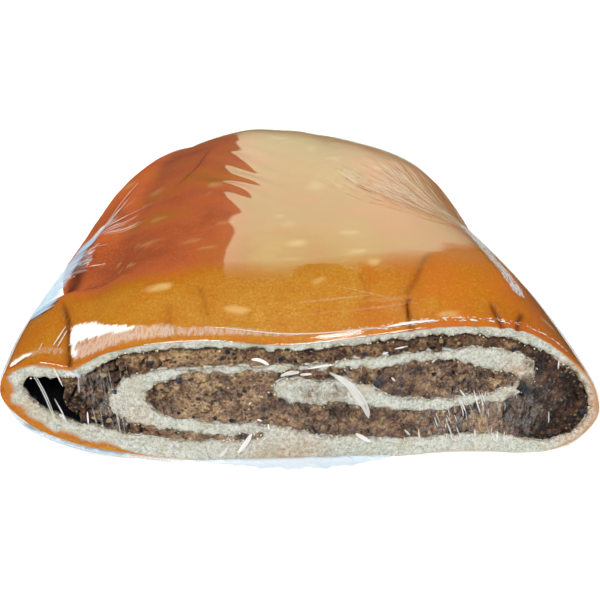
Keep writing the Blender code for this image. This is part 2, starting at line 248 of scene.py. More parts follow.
# Distance to a track of x, y rows, and how far along the track its nearest point is, from 0 to 1.
def trackDistance(x, y, track):
    track = np.asarray(track)
    best = np.full(x.shape, 1e9)
    share = np.zeros(x.shape)
    lengths = np.linalg.norm(np.diff(track, axis=0), axis=1)
    done = 0.0
    for start, end, length in zip(track[:-1], track[1:], lengths):
        runX, runY = end - start
        along = np.clip(((x - start[0]) * runX + (y - start[1]) * runY) / length**2, 0.0, 1.0)
        away = np.hypot(x - start[0] - along * runX, y - start[1] - along * runY)
        nearer = away < best
        best = np.where(nearer, away, best)
        share = np.where(nearer, (done + along * length) / lengths.sum(), share)
        done += length
    return best, share


pointsAtOnce = 2000       # points that are compared with a line of points in one go


# Nearest point of a line of points for each point: its distance and number.
def nearest(points, line):
    away, number = [], []
    for block in np.array_split(points, max(1, len(points) // pointsAtOnce)):
        gaps = np.linalg.norm(block[:, None] - line[None], axis=2)
        number.append(np.argmin(gaps, axis=1))
        away.append(np.min(gaps, axis=1))
    return np.concatenate(away), np.concatenate(number)


# Whether points lie inside a closed outline: a line to the right of each crosses it an odd number of times.
def isInside(points, outline):
    after = np.roll(outline, -1, axis=0)
    found = []
    for block in np.array_split(points, max(1, len(points) // pointsAtOnce)):
        px, pz = block[:, :1], block[:, 1:]
        spans = (outline[:, 1] > pz) != (after[:, 1] > pz)
        rise = np.where(after[:, 1] == outline[:, 1], 1e-12, after[:, 1] - outline[:, 1])
        crossing = outline[:, 0] + (pz - outline[:, 1]) / rise * (after[:, 0] - outline[:, 0])
        found.append(np.count_nonzero(spans & (px < crossing), axis=1) % 2 == 1)
    return np.concatenate(found)


# Points inside an outlined face: rows a share of the spacing apart, each point moved by chance by up to a
# share of it, and none nearer to a fixed point than a share of it.
faceNet = dict(rowStep=0.866, stray=0.22, clear=0.6)


# Flat triangles of the region between closed outlines: the outlines' own points, then any extra points,
# then the net at this spacing, and of their Delaunay triangles those whose middle passes the test.
def fillRegion(outlines, spacing, seed, inRegion, extra=None):
    edge = np.vstack(outlines)
    fixed = edge if extra is None else np.vstack([edge, extra])
    low, high = edge.min(axis=0), edge.max(axis=0)
    columns = np.arange(low[0], high[0], spacing)
    rows = np.arange(low[1], high[1], spacing * faceNet["rowStep"])
    lattice = np.stack(np.meshgrid(columns, rows), axis=-1)
    lattice[1::2, :, 0] += spacing / 2
    lattice = lattice.reshape(-1, 2)
    stray = faceNet["stray"]
    lattice = lattice + np.random.default_rng(seed).uniform(-stray, stray, lattice.shape) * spacing
    lattice = lattice[inRegion(lattice)]
    lattice = lattice[nearest(lattice, fixed)[0] > spacing * faceNet["clear"]]
    points = np.vstack([fixed, lattice])
    sides, first = [], 0
    for outline in outlines:
        count = len(outline)
        ring = np.arange(count) + first
        sides += list(zip(ring.tolist(), np.roll(ring, -1).tolist()))
        first += count
    found = delaunay_2d_cdt([Vector(p) for p in (points * 1000).tolist()], sides, [], 0, 1e-7)
    assert len(found[0]) == len(points), "an outline crosses itself"
    triangles = np.array(found[2])
    corners = points[triangles]
    turn = np.cross(corners[:, 1] - corners[:, 0], corners[:, 2] - corners[:, 0])
    triangles = np.where((turn < 0)[:, None], triangles[:, ::-1], triangles)
    return points, triangles[inRegion(corners.mean(axis=1))]


# Triangles between neighbouring rings of equal count, facing out from a clockwise section.
def ringFaces(ringCount, count):
    ring, point = np.meshgrid(np.arange(ringCount - 1), np.arange(count), indexing="ij")
    here, there, after = ring * count, (ring + 1) * count, (point + 1) % count
    first = np.stack([here + point, here + after, there + after], axis=-1)
    second = np.stack([here + point, there + after, there + point], axis=-1)
    return np.concatenate([first, second], axis=-1).reshape(-1, 3)


# The same for rings that close in a tip, whose point follows theirs in the list.
def closedLoftFaces(ringCount, count):
    last, points = (ringCount - 1) * count, np.arange(count)
    tip = np.stack([last + points, last + (points + 1) % count, np.full(count, ringCount * count)], axis=1)
    return np.vstack([ringFaces(ringCount, count), tip])


# Numbers for the points of a face in a piece's list: its rim, of this many points, starts at one place in
# the list and the points inside the rim at another.
def faceNumbers(rimAt, rimCount, insideAt, total):
    return np.concatenate([rimAt + np.arange(rimCount), insideAt + np.arange(total - rimCount)])


# Points of a section in space, this far behind the cut.
def behindCut(section, y):
    return np.stack([section[:, 0], np.broadcast_to(y, len(section)), section[:, 1]], axis=1)


# Unit normals of a lofted grid, closed across: the cross product of the steps round and back.
def gridNormals(grid):
    around = np.roll(grid, -1, axis=1) - np.roll(grid, 1, axis=1)
    back = np.gradient(grid, axis=0)
    normal = np.cross(around, back)
    return normal / np.maximum(np.linalg.norm(normal, axis=2), 1e-12)[:, :, None]


# A mesh piece from arrays in the loaf's own frame, with values per point, for this node of the part.
def makePiece(name, points, triangles, material, node, values=None, sharp=50):
    used = np.unique(triangles)
    renumber = np.full(len(points), -1)
    renumber[used] = np.arange(len(used))
    points, triangles = np.asarray(points)[used] + place, renumber[triangles]
    mesh = bpy.data.meshes.new(name)
    mesh.vertices.add(len(points))
    mesh.vertices.foreach_set("co", points.astype(np.float32).ravel())
    mesh.loops.add(triangles.size)
    mesh.loops.foreach_set("vertex_index", triangles.astype(np.int32).ravel())
    mesh.polygons.add(len(triangles))
    mesh.polygons.foreach_set("loop_start", np.arange(0, triangles.size, 3, dtype=np.int32))
    mesh.update(calc_edges=True)
    mesh.validate()
    for key, value in (values or {}).items():
        layer = mesh.attributes.new(key, "FLOAT", "POINT")
        layer.data.foreach_set("value", np.asarray(value, dtype=np.float32)[used])
    mesh.shade_smooth()
    mesh.set_sharp_from_angle(angle=math.radians(sharp))
    mesh.materials.append(material)
    piece = bpy.data.objects.new(name, mesh)
    bpy.context.scene.collection.objects.link(piece)
    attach(piece, "root")
    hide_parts(node)
    print(name, len(triangles), "triangles")
    return piece


# An sRGB hex colour in linear light.
def linear(hexColour):
    parts = [int(hexColour[k:k + 2], 16) / 255 for k in (1, 3, 5)]
    return tuple(c / 12.92 if c <= 0.04045 else ((c + 0.055) / 1.055) ** 2.4 for c in parts) + (1.0,)


# One node with its settings and links: an input takes a number, a colour, a socket, or a node for its first
# output, and stops are a ramp's rows of place and hex colour.
def addNode(owner, kind, inputs=None, stops=(), **settings):
    node = owner.node_tree.nodes.new(kind)
    for key, value in settings.items():
        setattr(node, key, value)
    for key, value in (inputs or {}).items():
        if isinstance(value, bpy.types.Node):
            value = next(socket for socket in value.outputs if socket.enabled)
        if isinstance(value, bpy.types.NodeSocket):
            owner.node_tree.links.new(value, node.inputs[key])
        else:
            node.inputs[key].default_value = value
    for k, (at, hexColour) in enumerate(stops):
        stop = node.color_ramp.elements[k] if k < 2 else node.color_ramp.elements.new(at)
        stop.position, stop.color = at, linear(hexColour)
    return node


def newMaterial(name):
    material = bpy.data.materials.new(name)
    material.use_nodes = True
    material.node_tree.nodes.clear()
    return material


# Tones of the crust, and of the crumb that the knife laid open. The darkest tones of the creases, of the
# pores and of the room behind the cut are painted shade.
crustLook = dict(pale="#CC9A4C", golden="#AE7721", orange="#AC640E", red="#BE5A2E", dark="#A04A24",
                 gleam="#CC9640", speck="#9A540C", crease="#55200A", blister="#D2AC6C")
crumbLook = dict(light="#CCCFC7", mid="#A8ABA0", dark="#878570", deep="#A8A286", pore="#665A42",
                 fleck="#8A5A2C", toasted="#AC6C30", smear="#75624C", soaked="#54402F", roomShade="#030308")
# Grain of their patterns: size in mm, detail and roughness of each noise.
doughGrain = dict(
    blotch=(8.0, 4.0, 0.55), drawn=(1.2, 3.0, 0.60), mottle=(0.55, 3.0, 0.60), speck=(0.75, 2.0, 0.5),
    crumb=(0.9, 6.0, 0.80), cloud=(5.0, 3.0, 0.5), fleck=(0.5, 2.0, 0.5), rind=(0.9, 3.0, 0.5),
    torn=(1.1, 4.0, 0.65), grain=(0.5, 4.0, 0.75), peel=(0.8, 3.0, 0.55),
)
drawnOut = 0.10           # how wide the skin's streaks are, as a share of their length across the loaf
poreSize = 0.62           # mm
browningShares = dict(blotch=0.42, drawn=0.12, mottle=0.46)


# Egg-washed yeast dough: the wash bakes to a skin that goes from gold to red brown, with paler blisters and
# darker creases, over a matt cream crumb with fine pores. The creases' dark lines, the darker pores and the
# near black walls of the filling's room are painted shade.
def doughMaterial():
    m = newMaterial("egg-washed yeast dough")
    at = addNode(m, "ShaderNodeTexCoord").outputs["Object"]
    value = {key: addNode(m, "ShaderNodeAttribute", attribute_name=key).outputs["Fac"]
             for key in ("bake", "brown", "crease", "blister", "inside", "toast", "smear")}
    across = addNode(m, "ShaderNodeMapping", {"Vector": at, "Scale": (drawnOut, 1.0, 1.0)})
    noise = {}
    for key, (size, detail, rough) in doughGrain.items():
        noise[key] = addNode(m, "ShaderNodeTexNoise", {
            "Vector": across if key == "drawn" else at, "Scale": 1 / (size * mm), "Detail": detail,
            "Roughness": rough})
    pores = addNode(m, "ShaderNodeTexVoronoi", {"Vector": at, "Scale": 1 / (poreSize * mm)})

    # browning in blotches, with streaks where the skin was drawn out across the loaf, and a fine mottling
    tone = value["brown"]
    for key, share in browningShares.items():
        tone = addNode(m, "ShaderNodeMath", {0: noise[key], 1: share, 2: tone}, operation="MULTIPLY_ADD")
    middle = 0.5 * sum(browningShares.values())
    tone = addNode(m, "ShaderNodeMath", {0: tone, 1: middle}, operation="SUBTRACT")
    crust = addNode(m, "ShaderNodeValToRGB", {"Fac": tone}, stops=[
        (0.0, crustLook["pale"]), (0.28, crustLook["golden"]), (0.52, crustLook["orange"]),
        (0.82, crustLook["red"]), (1.0, crustLook["dark"])])
    crumb = addNode(m, "ShaderNodeValToRGB", {"Fac": noise["crumb"]}, stops=[
        (0.33, crumbLook["dark"]), (0.46, crumbLook["mid"]), (0.60, crumbLook["light"])])

    bake = addNode(m, "ShaderNodeMath", {0: noise["rind"], 1: 0.7, 2: value["bake"]},
                   operation="MULTIPLY_ADD")
    toast = addNode(m, "ShaderNodeMapRange", {
        "Value": noise["crumb"], "From Min": 0.66, "From Max": 0.40, "To Max": 0.8})
    toast = addNode(m, "ShaderNodeMath", {0: toast, 1: value["toast"]}, operation="MULTIPLY")
    # the torn edge takes the filling's colour where the noise is above 1 less the smear
    torn = addNode(m, "ShaderNodeMath", {0: noise["torn"], 1: value["smear"]}, operation="ADD")

    # laid over them in turn: what decides it, where it starts and is full, how much, and the colour
    # the crease layer is painted shade, darkest in a line along each groove
    crustLayers = [
        (noise["mottle"], 0.50, 0.30, 0.26, "gleam"), (noise["speck"], 0.54, 0.72, 0.42, "speck"),
        (value["blister"], 0.0, 1.0, 1.0, "blister"), (value["crease"], 0.0, 1.0, 1.0, "crease")]
    # the pore layer darkens the crumb's pores, where the grain's bump is lowest: painted shade
    crumbLayers = [
        (noise["cloud"], 0.50, 0.70, 0.5, "deep"), (pores, 0.26, 0.08, 0.7, "pore"),
        (noise["fleck"], 0.64, 0.72, 0.7, "fleck"), (toast, 0.0, 1.0, 1.0, "toasted"),
        (torn, 0.88, 1.24, 0.90, "smear"), (torn, 1.10, 1.34, 0.95, "soaked"),
        (bake, 0.40, 0.90, 1.0, "toasted")]
    done = []
    for colour, look, layers in ((crust, crustLook, crustLayers), (crumb, crumbLook, crumbLayers)):
        for source, low, high, most, key in layers:
            share = addNode(m, "ShaderNodeMapRange", {
                "Value": source, "From Min": low, "From Max": high, "To Max": most})
            colour = addNode(m, "ShaderNodeMix", {"Factor": share, "A": colour, "B": linear(look[key])},
                             data_type="RGBA")
        done.append(colour)
    crust, crumb = done

    isCrust = addNode(m, "ShaderNodeMapRange", {"Value": bake, "From Min": 0.95, "From Max": 1.20})
    colour = addNode(m, "ShaderNodeMix", {"Factor": isCrust, "A": crumb, "B": crust}, data_type="RGBA")
    # the walls of the filling's room are painted near black: painted shade
    colour = addNode(m, "ShaderNodeMix", {
        "Factor": value["inside"], "A": colour, "B": linear(crumbLook["roomShade"])}, data_type="RGBA")
    gloss = addNode(m, "ShaderNodeMapRange", {"Value": isCrust, "To Min": 0.9, "To Max": 0.5})

    # crumb grain, and orange peel in the wash
    grain = addNode(m, "ShaderNodeMath", {0: pores, 1: 0.5, 2: noise["grain"]}, operation="MULTIPLY_ADD")
    skin = addNode(m, "ShaderNodeMath", {0: noise["peel"], 1: noise["drawn"]}, operation="ADD")
    skin = addNode(m, "ShaderNodeMath", {0: skin, 1: 0.16}, operation="MULTIPLY")
    height = addNode(m, "ShaderNodeMix", {"Factor": isCrust, "A": grain, "B": skin})
    bump = addNode(m, "ShaderNodeBump", {"Height": height, "Strength": 1.0, "Distance": 0.20 * mm})
    shader = addNode(m, "ShaderNodeBsdfPrincipled", {
        "Base Color": colour, "Roughness": gloss, "Normal": bump, "IOR": 1.45, "Specular IOR Level": 0.15})
    addNode(m, "ShaderNodeOutputMaterial", {"Surface": shader})
    return m


dough = dict(
    # points of the skin: along the top and the foot of the outline, and from row to row behind the cut
    topSpacing=0.62 * mm, footSpacing=1.7 * mm, footHalf=60 * mm, frontStep=0.42 * mm, backStep=2.1 * mm,
    frontRun=22 * mm, endRows=42,
    wobble=0.22 * mm, wobbleSize=11 * mm, ripple=0.05 * mm, rippleSize=2.6 * mm,
    creaseDepth=0.85 * mm, blisterHeight=0.10 * mm, blisterLean=0.55, ragged=0.85 * mm,
    # a dip in the left side, behind the cut, that the film bridges: depth, from where to where, and its way
    dip=4.6 * mm, dipFrom=(22.0, 32.0, 42.0, 57.0), dipWay=(0.85, 0.0, -0.53),
    # rows of the walls of the filling's room, in mm behind the cut
    channelY=[0.35, 0.9, 1.8, 3.5, 6, 10, 16, 24, 34, 46, 60, 85, 120, 155, 180, 190.3],
    # relief of the cut in mm: at rest, coarse and fine grain, holes and between clumps, and where it is
    # torn the width, how far it leans back and how rough
    rest=0.10, coarse=0.12, fine=0.10, hole=0.45, clump=0.07,
    tornWidth=1.1 * mm, tornLean=0.20, tornRough=0.35,
    # points of the cut: how far apart, and in mm how far inside the crust's edge finer rows of them lie
    cutSpacing=0.50 * mm, hemDepths=(0.3, 0.65, 1.1),
    # rind of baked skin on the cut, in mm: how thick it is on top, and how much more elsewhere
    rindTop=0.35, rindLowLeft=2.2, rindHighLeft=0.9, rindRight=0.7, rindFoot=0.7, rindRough=0.40,
    # crumb browned by the filling's sugar and by the tin: x, z, reach and strength
    toasted=[(-41.0, 14.5, 4.5, 0.35), (-44.5, 19.0, 3.0, 0.3), (-33.0, 17.0, 3.5, 0.3),
             (-4.0, 0.4, 8.0, 0.6), (-14.0, 3.2, 6.0, 0.3), (48.5, 24.0, 4.0, 0.6),
             (12.0, 22.0, 3.0, 0.3), (-66.0, 18.0, 4.0, 0.4), (69.0, 16.0, 5.0, 0.9),
             (70.0, 8.0, 5.0, 0.9), (65.5, 4.0, 4.0, 0.6), (62.0, 26.0, 3.0, 0.4)],
    # crumb that the filling has worked into: x, z, reach and strength
    worked=[(51.4, 21.6, 3.4, 0.86), (51.6, 26.5, 3.0, 0.74), (45.5, 26.5, 3.0, 0.40),
            (-45.5, 17.0, 3.4, 0.42), (48.6, 17.6, 2.2, 0.70), (-8.0, 20.5, 1.8, 0.45),
            (11.5, 22.5, 3.2, 0.36), (0.0, 19.5, 5.0, 0.62), (6.0, 19.5, 5.0, 0.62),
            (-22.0, 11.0, 3.0, 0.30), (-50.0, 9.0, 3.0, 0.30)],
)

# Creases in the crust, their dark colour a painted shade: strength and width in mm, then x and distance
# behind the cut.
creases = [
    (1.0, 0.42, [(22.6, -2.0), (22.5, 2.1), (22.0, 4.7), (23.1, 6.2), (22.8, 7.8)]),
    (0.42, 1.1, [(22.8, 7.6), (24.5, 9.4), (25.9, 11.7), (27.6, 15.3), (31.1, 21.1)]),
    (0.22, 0.9, [(13.4, 5.0), (13.2, 9.0), (12.0, 15.0)]),
    (0.85, 0.75, [(43.7, -1.0), (43.3, 0.8), (42.4, 3.6), (41.6, 6.2)]),
    (0.85, 0.75, [(46.9, -1.0), (47.3, 0.6), (48.1, 2.3), (50.4, 5.4)]),
    (0.9, 0.60, [(-54.6, -2.0), (-55.9, 4.1), (-56.8, 8.8), (-58.1, 13.2), (-59.9, 17.0), (-61.8, 21.7)]),
    (0.25, 0.9, [(-32.3, 1.0), (-32.4, 5.6), (-32.9, 9.7)]),
    (0.3, 0.7, [(-23.6, 5.0), (-24.7, 9.1), (-26.9, 12.9)]),
    (0.5, 0.9, [(-34.5, 136.0), (-36.9, 115.0), (-40.9, 101.2), (-43.5, 94.0)]),
]

# Blisters in the wash: x, distance behind the cut, half length across, half width and strength.
blisters = [
    (-35.1, 13.2, 3.6, 1.3, 0.9), (-17.2, 6.2, 3.4, 1.1, 0.8), (2.2, 12.9, 2.6, 1.0, 0.5),
    (31.6, 2.3, 3.0, 0.9, 0.6),
    (-2.4, 30.5, 3.2, 2.0, 0.7), (-4.2, 43.1, 2.4, 1.5, 0.5), (12.1, 34.9, 2.6, 1.4, 0.6),
    (15.8, 16.7, 2.4, 1.6, 0.7), (12.6, 22.3, 2.8, 1.3, 0.6), (-6.3, 50.4, 1.6, 1.4, 0.5),
    (-22.0, 46.6, 2.4, 1.2, 0.4), (-25.2, 30.2, 2.6, 1.3, 0.4), (-27.7, 86.2, 3.0, 3.2, 0.5),
    (-28.8, 77.1, 1.2, 1.6, 0.4), (5.6, 77.4, 3.4, 5.0, 0.4), (7.4, 127.6, 2.0, 5.0, 0.4),
    (13.0, 76.8, 1.6, 2.4, 0.3), (-3.8, 21.7, 4.0, 0.9, 0.3), (-43.4, 44.0, 4.6, 1.7, 0.5),
    (-54.1, 41.9, 1.4, 0.7, 0.9), (-46.8, 32.3, 1.8, 0.7, 0.9), (-52.0, 35.0, 1.2, 0.4, 0.7),
    (-50.0, 98.0, 3.0, 5.0, 0.4), (-52.1, 66.6, 1.8, 1.1, 0.8), (-44.0, 64.0, 3.6, 1.8, 0.4),
    (-30.5, 37.2, 3.4, 1.4, 0.4), (30.0, 96.0, 3.0, 4.0, 0.4), (-5.0, 150.0, 5.0, 5.0, 0.4),
    (38.0, 130.0, 4.0, 5.0, 0.4), (-20.0, 165.0, 4.0, 4.0, 0.4), (55.0, 90.0, 3.0, 4.0, 0.4),
    (-64.0, 120.0, 3.0, 5.0, 0.4), (60.0, 40.0, 2.5, 3.0, 0.3), (15.0, 110.0, 3.0, 4.0, 0.4),
]

# Where the wash has browned more or less: x, distance behind the cut, half sizes and change.
blotches = [
    (14.2, 13.0, 2.6, 4.2, 0.17), (13.8, 4.2, 5.0, 3.2, 0.15), (-6.0, 9.0, 14.0, 4.5, -0.04),
    (29.0, 3.5, 5.0, 2.6, -0.12), (-17.0, 6.0, 6.0, 3.0, -0.03), (2.0, 62.0, 26.0, 24.0, 0.10),
    (-14.0, 118.0, 12.0, 16.0, 0.16), (22.0, 120.0, 16.0, 26.0, 0.06), (-42.0, 9.0, 11.0, 6.0, -0.05),
    (-28.0, 88.0, 5.0, 6.0, -0.10), (-56.0, 80.0, 9.0, 16.0, 0.13), (-49.0, 124.0, 12.0, 18.0, -0.10),
    (2.0, 32.0, 16.0, 6.0, -0.06),
]


# Distances behind the cut for the rows of the skin: a fine step near the cut that grows to a coarse one,
# and from the start of the rounding by the sine of equal angles.
def skinRows(look):
    turn = loaf["topRound"][0]
    rows, step = [0.0], look["frontStep"]
    while rows[-1] < turn:
        step = look["frontStep"] + (look["backStep"] - look["frontStep"]) * smoothStep(
            rows[-1], look["frontRun"] * 0.5, look["frontRun"] * 2)
        rows.append(rows[-1] + step)
    angles = np.linspace(0, np.pi / 2, look["endRows"] + 2)[1:-1]
    return np.concatenate([rows[:-1], turn + (loaf["length"] - turn) * np.sin(angles)])


# Height of creases and blisters on the skin and how strong their colour is, by place on the loaf. A crease
# is a bell-shaped groove with a low wide lip, painted with a dark line of shade and a faint wide shade.
def crustMarks(x, y):
    raised, dark, pale = np.zeros(x.shape), np.zeros(x.shape), np.zeros(x.shape)
    for strength, width, track in creases:
        away, along = trackDistance(x, y, np.array(track) * mm)
        taper = strength * (1 - smoothStep(along, 0.7, 1.0))
        width = width * mm * (0.6 + 0.5 * taper)
        raised += taper * dough["creaseDepth"] * (0.28 * bell(away, 2.6 * width) - bell(away, width))
        dark = np.maximum(dark, taper * bell(away, 0.9 * width))
        dark = np.maximum(dark, 0.22 * taper * bell(away, 3.0 * width))
    rough = 0.35 * valueNoise(np.stack([x * 0.5, y, 0 * x], axis=-1), 0.8 * mm, 3)
    # on the left shoulder, which falls away, they lie turned towards the cut
    lean = dough["blisterLean"] * smoothStep(-x, 34 * mm, 54 * mm)
    for bx, by, halfLength, halfWidth, strength in np.array(blisters):
        edge = np.hypot((x / mm - bx) / halfLength, (y / mm - by + lean * (x / mm - bx)) / halfWidth)
        dome = 1 - smoothStep(edge + rough, 0.35, 1.25)
        raised += dough["blisterHeight"] * strength * dome
        pale = np.maximum(pale, strength * 0.8 * dome)
    return raised, dark, pale


# Browning by place: how much it adds, from where to where in mm.
browns = dict(
    base=0.35, left=(0.10, 14, 50), right=(0.20, 10, 34), cutEdge=(0.10, 0, 3), behind=(0.09, 22, 40),
    foot=(0.20, 0, 9), footBelow=12, uneven=0.10, unevenBehind=(0.08, 20, 40), unevenSize=13 * mm,
    # the red brown behind at the left: how much, less a little further back, its edge along the loaf, how
    # far the edge wanders and from where, where it starts behind the cut, and how much later far left
    red=0.42, redLess=(0.07, 55, 59), redEdge=(9, 22), wander=7, wanderSize=14 * mm, wanderFrom=(70, 110),
    redStart=(10, 24), redLater=(5, 34, 50),
)


# How far the wash has browned, from pale gold to red brown: least in the middle of the front, more to the
# right and at the cut's edge, and most behind at the left, where it ends in a line along the loaf.
def browning(points):
    x, y, z = np.moveaxis(points, -1, 0) / mm

    def much(key, place):
        most, low, high = browns[key]
        return most * smoothStep(place, low, high)

    brown = browns["base"] + much("left", -x) + much("right", x) + much("cutEdge", browns["cutEdge"][2] - y)
    wander = browns["wander"] * valueNoise(points * (0, 1, 0), browns["wanderSize"], 6)
    isLeft = smoothStep(-x + wander * smoothStep(y, *browns["wanderFrom"]), *browns["redEdge"])
    red = isLeft * smoothStep(y - much("redLater", -x), *browns["redStart"])
    brown = brown + red * (browns["red"] - much("redLess", y))
    brown = brown + much("behind", y) * (1 - isLeft)
    for bx, by, halfX, halfY, change in blotches:
        brown = brown + change * (1 - smoothStep(np.hypot((x - bx) / halfX, (y - by) / halfY), 0.4, 1.3))
    brown = brown - much("foot", browns["footBelow"] - z)
    return brown + (browns["uneven"] + much("unevenBehind", y)) * valueNoise(points, browns["unevenSize"], 5)


# The dip in the left side, of the skin and of what lies under it alike.
def leftDip(points):
    x, y, z = np.moveaxis(points, -1, 0) / mm
    much = window(y, dough["dipFrom"]) * smoothStep(-x, 42, 62) * smoothStep(z, 3, 22)
    return points + dough["dip"] * much[..., None] * np.array(dough["dipWay"])


# The skin: the outline lofted back, with its wobble, creases and blisters. Gives its grid of points, and
# how dark and how pale the marks on it are.
def doughSkin():
    ring = loftRing(dough)
    ys = skinRows(dough)
    grid = loafForm(ring[:, 0], ring[:, 1], ys[:, None])
    normal = gridNormals(grid)
    raised, dark, pale = crustMarks(grid[:, :, 0], grid[:, :, 1])
    up = smoothStep(normal[:, :, 2], 0.05, 0.5)
    above = grid[:, :, 2] > 2 * mm                 # the foot stays flat
    shift = dough["wobble"] * valueNoise(grid, dough["wobbleSize"], 1)
    shift = shift + dough["ripple"] * valueNoise(grid, dough["rippleSize"], 2)
    atTip = smoothStep(ys, loaf["length"], 200 * mm)[:, None]
    shift = (shift * (0.3 + 0.7 * up) + raised * up) * above * atTip
    normal[0, :, 1] = 0.0                          # the first ring stays in the plane of the cut
    grid = leftDip(grid + normal * shift[:, :, None])
    grid[:, :, 2] = np.maximum(grid[:, :, 2], 0.0)
    return grid, dark * up * above, pale * up * above


# How far the crumb lies behind the plane of the cut, from its distances to the crust and to the filling.
def crumbDepth(face, toCrust, toFilling):
    spot = behindCut(face, 0.0)
    first, second = cellNoise(face, 1.7 * mm, 26)
    depth = dough["rest"] + dough["coarse"] * valueNoise(spot, 1.0 * mm, 21)
    depth += dough["fine"] * valueNoise(spot, 0.55 * mm, 22)
    depth += dough["hole"] * smoothStep(valueNoise(spot, 1.4 * mm, 23), 0.50, 0.85)
    depth += dough["clump"] * (1 - smoothStep(second - first, 0.0, 0.30))
    torn = 1 - smoothStep(toFilling, 0.0, dough["tornWidth"])
    depth += torn * (dough["tornLean"] + dough["tornRough"] * valueNoise(spot, 1.3 * mm, 24))
    return np.maximum(depth, 0.0) * mm * smoothStep(toCrust, 0.0, 0.7 * mm)


# Where the skin stayed pale: along its foot and low at the right.
def paleSkin(x, z):
    lowRight = smoothStep(x, 52 * mm, 60 * mm) * (1 - smoothStep(z, 21 * mm, 29 * mm))
    return np.maximum(1 - smoothStep(z, 1.2 * mm, 3.5 * mm), lowRight)


# Rind of baked skin on the cut: thin on top, thick at the lower left, rough along the foot.
def rindOnCut(face, toCrust, crustPoint):
    x, z = crustPoint.T
    rind = dough["rindTop"] + dough["rindLowLeft"] * smoothStep(-x, 43 * mm, 52 * mm) * smoothStep(
        28 * mm - z, 0.0, 5 * mm)
    rind += (dough["rindHighLeft"] * smoothStep(-x, 50 * mm, 56 * mm) * (z > 22 * mm)
             + dough["rindRight"] * smoothStep(x, 60 * mm, 68 * mm))
    rind += dough["rindFoot"] * bell(x + 4 * mm, 13 * mm) * (z < 3 * mm)
    rind *= 1 + dough["rindRough"] * valueNoise(behindCut(face, 0.0), 2.2 * mm, 25)
    pale = paleSkin(x, np.where(x > -40 * mm, z, 0.0)) * smoothStep(x, -44 * mm, -38 * mm)
    return (0.85 - 0.42 * pale) * (1 - smoothStep(toCrust / mm, 0.0, 1.35 * rind))


# The strongest of some spots at each point of the cut: x, z, reach and strength, which falls off as a bell.
def spotsOnCut(face, spots):
    strongest = np.zeros(len(face))
    for x, z, reach, strength in spots:
        away = np.hypot(face[:, 0] - x * mm, face[:, 1] - z * mm)
        strongest = np.maximum(strongest, strength * bell(away, reach * mm))
    return strongest


# The rolled dough: its skin, the cut face between outline and spiral, the walls of the room that the
# filling takes, and the room's closed end.
def buildDough(spiral):
    grid, dark, pale = doughSkin()
    skin = np.vstack([grid.reshape(-1, 3), [[0.0, loaf["length"], loaf["tipHeight"]]]])

    edge = grid[0][:, [0, 2]]
    hem = np.vstack([inset(edge, np.full(len(edge), depth * mm)) for depth in dough["hemDepths"]])
    hem = hem[isInside(hem, edge) & ~isInside(hem, spiral)]
    hem = hem[nearest(hem, np.vstack([edge, spiral]))[0] > 0.24 * mm]
    face, faceTriangles = fillRegion([edge, spiral], dough["cutSpacing"], 11,
                                     lambda p: isInside(p, edge) & ~isInside(p, spiral), hem)
    toCrust, number = nearest(face, edge)
    toFilling = nearest(face, spiral)[0]
    depth = crumbDepth(face, toCrust, toFilling)
    depth[:len(edge)] = 0.0
    cut = behindCut(face, depth)

    wallCount = len(spiral)
    rows = np.array(dough["channelY"]) * mm
    lean = depth[len(edge):len(edge) + wallCount] * (1 - smoothStep(rows, 0.0, loaf["reliefRun"]))[:, None]
    walls = leftDip(loafForm(spiral[:, 0], spiral[:, 1], rows[:, None] + lean))
    walls = walls - gridNormals(walls) * (0.25 * mm * valueNoise(walls, 2.0 * mm, 31))[:, :, None]
    walls = np.concatenate([cut[None, len(edge):len(edge) + wallCount], walls])
    back, backTriangles = fillRegion([spiral], loaf["endSpacing"], 12, lambda p: isInside(p, spiral))
    backPoints = loafForm(back[:, 0], back[:, 1], rows[-1])

    # one list of points: skin, walls of the room, inner points of the cut, inner points of the room's end
    everything = np.vstack([skin, walls.reshape(-1, 3), cut[len(edge) + wallCount:], backPoints[wallCount:]])
    wallsEnd = len(skin) + walls.shape[0] * wallCount
    cutEnd = wallsEnd + len(face) - len(edge) - wallCount
    onFace = np.concatenate([
        np.arange(len(edge)), faceNumbers(len(skin), wallCount, wallsEnd, len(face) - len(edge))])
    onBack = faceNumbers(wallsEnd - wallCount, wallCount, cutEnd, len(back))
    triangles = np.vstack([
        closedLoftFaces(*grid.shape[:2]), len(skin) + ringFaces(len(walls), wallCount)[:, ::-1],
        onFace[faceTriangles], onBack[backTriangles]])

    bake, crease, blister, inside, toast, smear = np.zeros((6, len(everything)))
    underbaked = 0.80 * paleSkin(skin[:, 0], skin[:, 2]) * (1 - smoothStep(skin[:, 1], 3 * mm, 9 * mm))
    bake[:len(skin)] = 1.0 - underbaked
    bake[onFace[len(edge):]] = rindOnCut(face, toCrust, edge[number])[len(edge):]
    crease[:len(skin) - 1] = dark.ravel()
    blister[:len(skin) - 1] = pale.ravel()
    toast[onFace] = spotsOnCut(face, dough["toasted"])
    # nut oil and sugar have soaked into the crumb's torn edge
    soakedWidth = 1.8 + 1.4 * valueNoise(behindCut(face, 0.0), 3.0 * mm, 27)
    soaked = 0.66 * (1 - np.clip(toFilling / mm / soakedWidth, 0, 1))
    smear[onFace] = np.maximum(soaked, spotsOnCut(face, dough["worked"]))
    # the walls of the room lie in the dark, and their near black colour is painted shade
    inside[len(skin):wallsEnd] = smoothStep(walls[:, :, 1], 0.3 * mm, 1.1 * mm).ravel()
    inside[cutEnd:] = 1.0
    values = dict(bake=bake, brown=browning(everything), crease=np.clip(crease, 0, 1),
                  blister=np.clip(blister, 0, 1), inside=inside, toast=toast, smear=smear)
    makePiece("rolled_dough", everything, triangles, doughMaterial(), "dough", values)
    return edge


